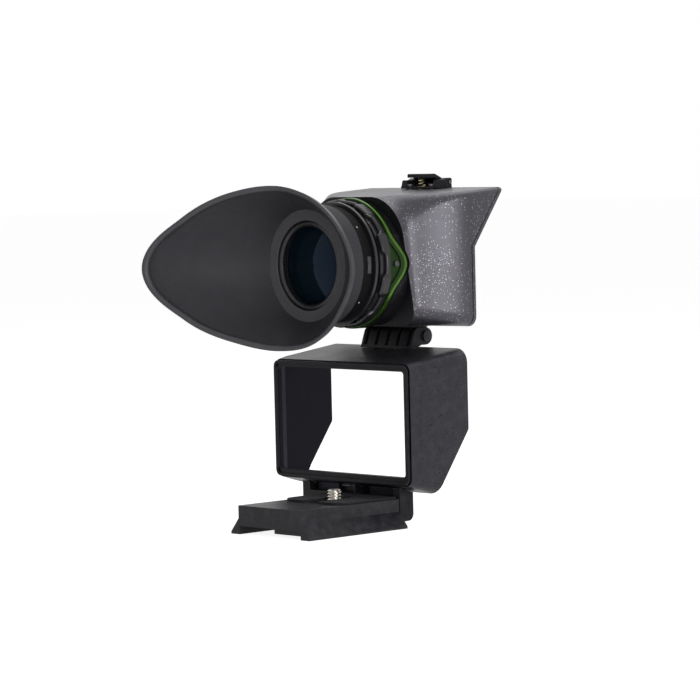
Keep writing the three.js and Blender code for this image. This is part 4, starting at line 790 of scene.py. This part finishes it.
def leaningRing(offset, outlineAt, towards=None, share=0.0):  # a ring whose near edge leans back downwards
    start = outlineRing(outlineAt(bodySizes["start"]), 0)
    ring = []
    for i, (_, _, z) in enumerate(start):
        depth = flareNear(z) + offset
        if towards is not None:
            depth = blendValue(depth, towards, share)
        ring.append(outlineRing(outlineAt(depth), depth)[i])
    return ring


def bodyRings(inset, offset):
    size = bodySizes
    full = flareNear(size["bottom"]) + size["fullAfter"]
    rings = [leaningRing(offset, lambda along: bodyOutline(along, inset), full, k / size["leanRings"])
             for k in range(size["leanRings"])]
    depths = [blendValue(full, size["mouth"], k / size["flareRings"]) for k in range(size["flareRings"] + 1)]
    depths += [blendValue(size["mouth"], size["end"], (k + 1) / size["mouthRings"])
               for k in range(size["mouthRings"])]
    return rings + [outlineRing(bodyOutline(along, inset), along) for along in depths]


def prismAlongX(outline, left, right):
    near = [(left, y, z) for y, z in outline]
    far = [(right, y, z) for y, z in outline]
    return ringSkin([near, far], closed=False)


def boxMesh(x0, x1, y0, y1, z0, z1):
    return prismAlongX([(y0, z0), (y1, z0), (y1, z1), (y0, z1)], x0, x1)


def upright(profile, steps, x=0.0, y=0.0):  # a solid whose (radius, height) profile turns round a vertical line
    turns = [2 * math.pi * k / steps for k in range(steps)]
    rings = [[(x + radius * math.cos(turn), y + radius * math.sin(turn), z) for turn in turns]
             for radius, z in profile]
    return ringSkin(rings, closed=False)


def carve(piece, *jobs):  # booleans with helper solids, which are deleted again
    helpers = []
    for operation, skin in jobs:
        helper = newPiece("helper", skin, "plainMoulding")
        helpers.append(helper)
        cut = piece.modifiers.new("cut", "BOOLEAN")
        cut.operation = operation
        cut.solver = "MANIFOLD"
        cut.object = helper
    graph = bpy.context.evaluated_depsgraph_get()
    mesh = bpy.data.meshes.new_from_object(piece.evaluated_get(graph))
    piece.modifiers.clear()
    piece.data = mesh
    for helper in helpers:
        bpy.data.objects.remove(helper)


def carvedSkin(skin, cutter):  # one helper solid less another, as points and faces
    piece = newPiece("helper", skin, "plainMoulding")
    carve(piece, ("DIFFERENCE", cutter))
    points = [tuple((vertex.co - origin) * 1000) for vertex in piece.data.vertices]
    faces = [tuple(face.vertices) for face in piece.data.polygons]
    bpy.data.objects.remove(piece)
    return points, faces


def mouthLine():  # the fine line that runs round the body just inside its slanted mouth
    size = bodySizes
    far, near = size["lineSetback"], size["lineSetback"] + size["lineWidth"]
    rise = (size["slantTop"] - size["slantLow"]) / (size["end"] - size["mouth"])
    steep = math.hypot(1, rise)
    low, high = size["bottom"] - size["margin"], size["top"] + size["margin"]
    half = size["farHalf"] + size["margin"]

    def edge(back):  # the mouth's outline in side view, moved back from the edge
        elbow = (size["mouth"] - back, size["slantLow"] + back * (steep - rise))
        topZ = elbow[1] + rise * (size["end"] - back - elbow[0])
        return [(size["mouth"] - back, low), elbow, (size["end"] - back, topZ), (size["end"] - back, high)]

    outline = edge(near) + list(reversed(edge(far)))
    slab = prismAlongX(outline, axis["x"] - half, axis["x"] + half)
    return carvedSkin(slab, ringSkin(bodyRings(size["lineDepth"], 0.0), closed=False))


def lobeCutter():
    inside, near = bodySizes["lobeCut"]
    far = lobeSizes["width"] / 2 + bodySizes["lobeGap"]
    return aroundAxis(lambda angle: bandProfile(inside, bodySizes["farHalf"], near, accentMiddle(angle) + far),
                      bodySizes["steps"])


def collarBand():  # the round collar behind the green ring, cut flat underneath
    size = bodySizes

    def section(angle):
        far = flareNear(axis["z"] + size["collar"] * math.sin(angle)) + size["collarSink"]
        return bandProfile(size["collarBore"], size["collar"], size["collarEdge"], far)

    half = size["underHalf"]
    under = boxMesh(axis["x"] - half, axis["x"] + half, size["flatFrom"], size["mouth"], size["beyond"],
                    size["nearLow"])
    return carvedSkin(aroundAxis(section, size["steps"]), under)


bodyPaint = {"inward": -0.3, "towardsEye": -0.85, "collarDepth": 0.4, "collarRadius": 0.5}


def bodyShadeAndInside(spot, normal):  # 1 the near face and the collar, painted shade in a darker, duller copy of the moulding; 2 the inside
    across, up = spot.x - axis["x"], spot.z - axis["z"]
    radius = radiusAt(spot)
    if across * normal.x + up * normal.z < bodyPaint["inward"] * radius:
        return 2
    onCollar = (spot.y < flareNear(spot.z) + bodyPaint["collarDepth"]
                and radius < bodySizes["collar"] + bodyPaint["collarRadius"])
    return int(normal.y < bodyPaint["towardsEye"] or onCollar)


def buildBody():
    size = bodySizes
    beyond, slantHalf = size["beyond"], size["slantHalf"]
    boreIn, boreNear = size["boreCut"]
    throat = circleOutline(size["throat"])
    rings = bodyRings(0.0, 0.0) + list(reversed(bodyRings(size["wall"], size["wall"])))
    rings += [leaningRing(offset, lambda along: throat) for offset in (size["wall"], 0.0)]
    bore = aroundAxis(lambda angle: bandProfile(boreIn, size["bore"], boreNear, size["boreFar"]))
    slant = prismAlongX([
        (size["mouth"], beyond), (beyond, beyond), (beyond, size["slantTop"]), (size["end"], size["slantTop"]),
        (size["mouth"], size["slantLow"]),
    ], axis["x"] - slantHalf, axis["x"] + slantHalf)
    leafTop = (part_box("hinge_upper_leaf")[1] - origin).z * 1000
    x, y, low, high, radius = size["springWell"]
    well = upright([(radius, low), (radius, high)], size["wellSteps"], x, y)
    cutters = (lobeCutter(), bore, slant, boxMesh(*size["leafPocket"], beyond, leafTop + size["leafGap"]),
               boxMesh(*size["latchSeat"]), mouthLine(), well)
    # the near face and the collar take plainMoulding as painted shade
    addPiece("viewfinder_body_shell", ringSkin(rings), "bodyMoulding", "viewfinder", "gloss", "viewfinder_body",
             jobs=[("UNION", collarBand()), *(("DIFFERENCE", cutter) for cutter in cutters)],
             paint=(("plainMoulding", "matteBlack"), bodyShadeAndInside))


buildBody()
print("body built")

# ---- mount ring, with lobes like the green ring's

mountSizes = {"inside": 24.9, "near": 15.8, "neck": 25.9, "step": 20.8, "outside": 27.2, "back": 28.9,
              "backInside": 25.8, "far": 29.0, "rounding": 0.2, "steps": 300, "greenFrom": (27, 20.9)}


def mountSection(angle):
    size = mountSizes
    edge = min(accentMiddle(angle) + lobeSizes["width"] / 2, size["back"])
    return roundedProfile([
        (size["inside"], size["near"]), (size["neck"], size["near"]), (size["neck"], size["step"]),
        (size["outside"], size["step"]), (size["outside"], edge), (size["backInside"], edge),
        (size["backInside"], size["far"]), (size["inside"], size["far"]),
    ], size["rounding"], 2)


def besideAccent(spot, normal):  # the strip between the two rings is green as well, in the darker green of painted shade
    radius, along = mountSizes["greenFrom"]
    return int(radiusAt(spot) > radius and spot.y > along)


addPiece("mount_ring_lobed", aroundAxis(mountSection, mountSizes["steps"]), "turnedAnodising", "viewfinder",
         "anodised", "mount_ring", paint=(("shadedGreen",), besideAccent))
print("mount ring built")

# ---- camera screw with a helical thread

screwSizes = {"radius": 3.175, "depth": 0.55, "pitch": 1.27, "tip": 17.3, "steps": 40, "rows": 9, "taper": 0.9,
              "tipDrop": 0.15, "crest": (1.3, 0.15), "threadGap": 0.6, "middle": 0.6, "neck": 2.2, "head": 6.0,
              "headHeight": 3.0, "headSteps": 64, "headEdge": 0.3, "headRim": (0.5, 0.4), "sink": 0.2,
              "slot": 1.6, "slotDepth": 1.3, "slotReach": 8, "slotBelow": 1}


def buildCameraScrew():
    size = screwSizes
    low = (screwLow.z - origin.z) * 1000
    headTop = low + size["headHeight"]
    threadStart = (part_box("screw_collar")[1].z - origin.z) * 1000 + size["threadGap"]
    count = int((size["tip"] - threadStart) / (size["pitch"] / size["rows"]))
    steepness, drop = size["crest"]
    rings = []
    for row in range(count + 1):
        z = blendValue(threadStart, size["tip"], row / count)
        limit = min(size["radius"], size["radius"] - size["depth"] - size["tipDrop"]
                    + (size["tip"] - z) / size["taper"])
        ring = []
        for step in range(size["steps"]):
            share = (z / size["pitch"] - step / size["steps"]) % 1.0
            crest = clamp(steepness * (1 - abs(2 * share - 1)) - drop)
            radius = min(size["radius"] - size["depth"] * (1 - crest), limit)
            angle = 2 * math.pi * step / size["steps"]
            ring.append((radius * math.cos(angle), radius * math.sin(angle), z))
        rings.append(ring)
    addPiece("camera_screw_thread", ringSkin(rings, closed=False), "turnedSteel",
             "camera_screw", "steel", "camera_screw")
    head, middle, neck, edge = size["head"], size["middle"], size["neck"], size["headEdge"]
    rim, chamfer = size["headRim"]
    neckTop = threadStart + size["sink"]
    profile = [(middle, low + edge), (head - rim, low), (head, low + chamfer), (head, headTop - edge),
               (head - edge, headTop), (neck, headTop), (neck, neckTop), (middle, neckTop)]
    slot = boxMesh(-size["slotReach"], size["slotReach"], -size["slot"] / 2, size["slot"] / 2,
                   low - size["slotBelow"], low + size["slotDepth"])
    addPiece("camera_screw_head", upright(profile, size["headSteps"]), "turnedSteel",
             "camera_screw", "steel", "camera_screw", jobs=[("DIFFERENCE", slot)])


buildCameraScrew()
print("camera screw built")

# ---- latch spring, smooth

springSizes = {"x": -10.0, "y": 67.3, "foot": 144.67, "top": 150.37, "radius": 1.6, "wire": 0.25, "curls": 4.75,
               "sides": 10, "stepsPerCurl": 28, "closedEnds": 0.35}


def buildSpring():
    size = springSizes
    count = int(size["curls"] * size["stepsPerCurl"])
    centres = []
    for i in range(count + 1):
        share = i / count
        eased = blendValue(share, smoothStep(share), size["closedEnds"])
        angle = 2 * math.pi * size["curls"] * share
        centres.append(Vector((size["x"] + size["radius"] * math.cos(angle),
                               size["y"] + size["radius"] * math.sin(angle),
                               blendValue(size["foot"], size["top"], eased))))
    turns = [2 * math.pi * k / size["sides"] for k in range(size["sides"])]
    rings = []
    for i, centre in enumerate(centres):
        ahead = centres[min(i + 1, count)] - centres[max(i - 1, 0)]
        out = Vector((centre.x - size["x"], centre.y - size["y"], 0)).normalized()
        side = ahead.normalized().cross(out).normalized()
        rings.append([tuple(centre + (out * math.cos(turn) + side * math.sin(turn)) * size["wire"])
                      for turn in turns])
    spring = addPiece("latch_spring_coil", ringSkin(rings, closed=False), "springBrass",
                      "viewfinder", "brass", "latch_spring")
    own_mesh(spring)


buildSpring()
print("spring built")

# ---- painted index marks in the tube's groove

markSizes = {"radius": 25.53, "thickness": 0.12, "points": 24, "dots": (7.75, 8.45), "bar": (8.5, 10.4)}


def paintPatch(name, angles, alongs, finish, roundEnds=False):
    size = markSizes
    rings = [[], []]
    middleAngle, middleAlong = sum(angles) / 2, sum(alongs) / 2
    for i in range(size["points"]):
        turn = 2 * math.pi * i / size["points"]
        u, v = math.cos(turn), math.sin(turn)
        if not roundEnds:
            reach = max(abs(u), abs(v))
            u, v = u / reach, v / reach
        angle = math.radians(middleAngle + u * (angles[1] - angles[0]) / 2)
        along = middleAlong + v * (alongs[1] - alongs[0]) / 2
        for ring, side in zip(rings, (-1, 1)):
            ring.append(axisPoint(size["radius"] + side * size["thickness"], along, angle))
    addPiece(name, ringSkin(rings, closed=False), finish, "eyepiece", "anodised")


paintPatch("index_dot_upper", (38.9, 40.6), markSizes["dots"], "whitePaint", roundEnds=True)
paintPatch("index_dot_lower", (-40.1, -38.4), markSizes["dots"], "whitePaint", roundEnds=True)
paintPatch("index_bar", (-8.1, 8.3), markSizes["bar"], "greyPaint")
print("marks built")

# ---- thin gasket that closes the gap under the latch's base

gasketSizes = {"inset": 0.1, "foot": 145.8, "overlap": 0.02, "bevel": 0.05}


def buildLatchGasket():
    inset = gasketSizes["inset"]
    low, high = ((corner - origin) * 1000 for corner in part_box("latch_base"))
    skin = boxMesh(low.x + inset, high.x - inset, low.y + inset, high.y - inset,
                   gasketSizes["foot"], low.z + gasketSizes["overlap"])
    addPiece("latch_gasket", skin, "matteBlack", "viewfinder", "rubber", bevel=gasketSizes["bevel"])


buildLatchGasket()
print("gasket built")

# ---- CAD nodes that keep their shape: rounded edges, smooth shading and a finish

carried = {
    "base_plate": ("blackAnodising", 0.35), "plate_stop": ("blackAnodising", 0.2),
    "base_pad": ("padRubber", 0.25), "screw_collar": ("turnedSteel", 0.15),
    "bracket": ("plainMoulding", 0.3), "lcd_frame": ("frameMoulding", 0.3),
    "frame_seal": ("plainMoulding", 0.2), "lock_screw_left": ("blackAnodising", 0.2),
    "lock_screw_right": ("blackAnodising", 0.2), "hinge_lower_leaf": ("plainMoulding", 0.25),
    "hinge_upper_leaf": ("plainMoulding", 0.2), "hinge_pin": ("blackAnodising", 0.15),
    "light_baffle": ("matteBlack", 0.1), "latch_base": ("plainMoulding", 0.2),
    "latch_lever": ("plainMoulding", 0.2), "latch_pin": ("blackenedSteel", 0.1),
}
screwLook = ("blackenedSteel", 0.12)  # for the screws, which the dictionary above leaves out

for name, node in nodes.items():
    finish, bevel = ("plainMoulding", 0) if name in replaced else carried.get(name, screwLook)
    node.data.materials.clear()
    node.data.materials.append(materials[finish])
    finishMesh(node, bevel, merge=True)
print("carried nodes finished")

# ---- studio: floor, world and lamps

studio = {"floorSize": 12.0, "floorWhite": 0.88, "floorColor": 0.75, "floorPatches": 0.03, "floorNoise": 3.0,
          "floorRoughness": 0.9, "floorSpecular": 0.1, "worldFill": 0.08}


def seenDirectly(tree):  # 1 for rays from the camera, from a gloss or through glass
    path = addNode(tree, "ShaderNodeLightPath").outputs
    mirrored = mathNode(tree, "MAXIMUM", path["Is Glossy Ray"], path["Is Transmission Ray"])
    return mathNode(tree, "MAXIMUM", path["Is Camera Ray"], mirrored)


def makeFloor():
    half, shade = studio["floorSize"] / 2, studio["floorColor"]
    mesh = bpy.data.meshes.new("studio_floor")
    corners = [(-half, -half, 0), (half, -half, 0), (half, half, 0), (-half, half, 0)]
    mesh.from_pydata(corners, [], [(0, 1, 2, 3)])
    floor = bpy.data.objects.new("studio_floor", mesh)
    scene.collection.objects.link(floor)
    material, tree, shader = newMaterial("paleFloor")
    white = mathNode(tree, "MULTIPLY", seenDirectly(tree), studio["floorWhite"])
    feed(tree, shader, {
        "Base Color": mixColor(tree, noiseNode(tree, studio["floorNoise"], 3.0), opaque((shade,) * 3),
                               opaque((shade + studio["floorPatches"],) * 3)),
        "Roughness": studio["floorRoughness"], "Specular IOR Level": studio["floorSpecular"],
        "Emission Color": addNode(tree, "ShaderNodeCombineColor", {0: white, 1: white, 2: white}).outputs[0],
        "Emission Strength": 1.0,
    })
    mesh.materials.append(material)


def makeWorld():  # white where it is seen, and faint as a light
    world = bpy.data.worlds.new("studioWorld")
    scene.world = world
    world.use_nodes = True
    tree = world.node_tree
    fill = studio["worldFill"]
    level = mathNode(tree, "ADD", mathNode(tree, "MULTIPLY", seenDirectly(tree), 1 - fill), fill)
    feed(tree, tree.nodes["Background"], {"Color": (1, 1, 1, 1), "Strength": level})


lamps = {  # aim and place in millimetres, size in metres, power in watts
    "sideSoftbox": {"place": (880, -240, 165), "aim": (20, 30, 110), "size": 0.5, "power": 5.0},
    "keySoftbox": {"place": (800, -650, 220), "aim": (-10, 0, 100), "size": 0.4, "power": 0.4},
    "topSoftbox": {"place": (-100, 250, 950), "aim": (-10, 30, 100), "size": 0.8, "power": 3.3},
}


def makeLamps():
    for name, settings in lamps.items():
        data = bpy.data.lights.new(name, "AREA")
        data.shape = "RECTANGLE"
        data.size = data.size_y = settings["size"]
        data.energy = settings["power"]
        lamp = bpy.data.objects.new(name, data)
        spot, aim = place(*settings["place"]), place(*settings["aim"])
        turn = (spot - aim).to_track_quat("Z", "Y").to_matrix().to_4x4()
        lamp.matrix_world = Matrix.Translation(spot) @ turn
        scene.collection.objects.link(lamp)


makeFloor()
makeWorld()
makeLamps()
scene.view_settings.view_transform = "Standard"
print("studio built")
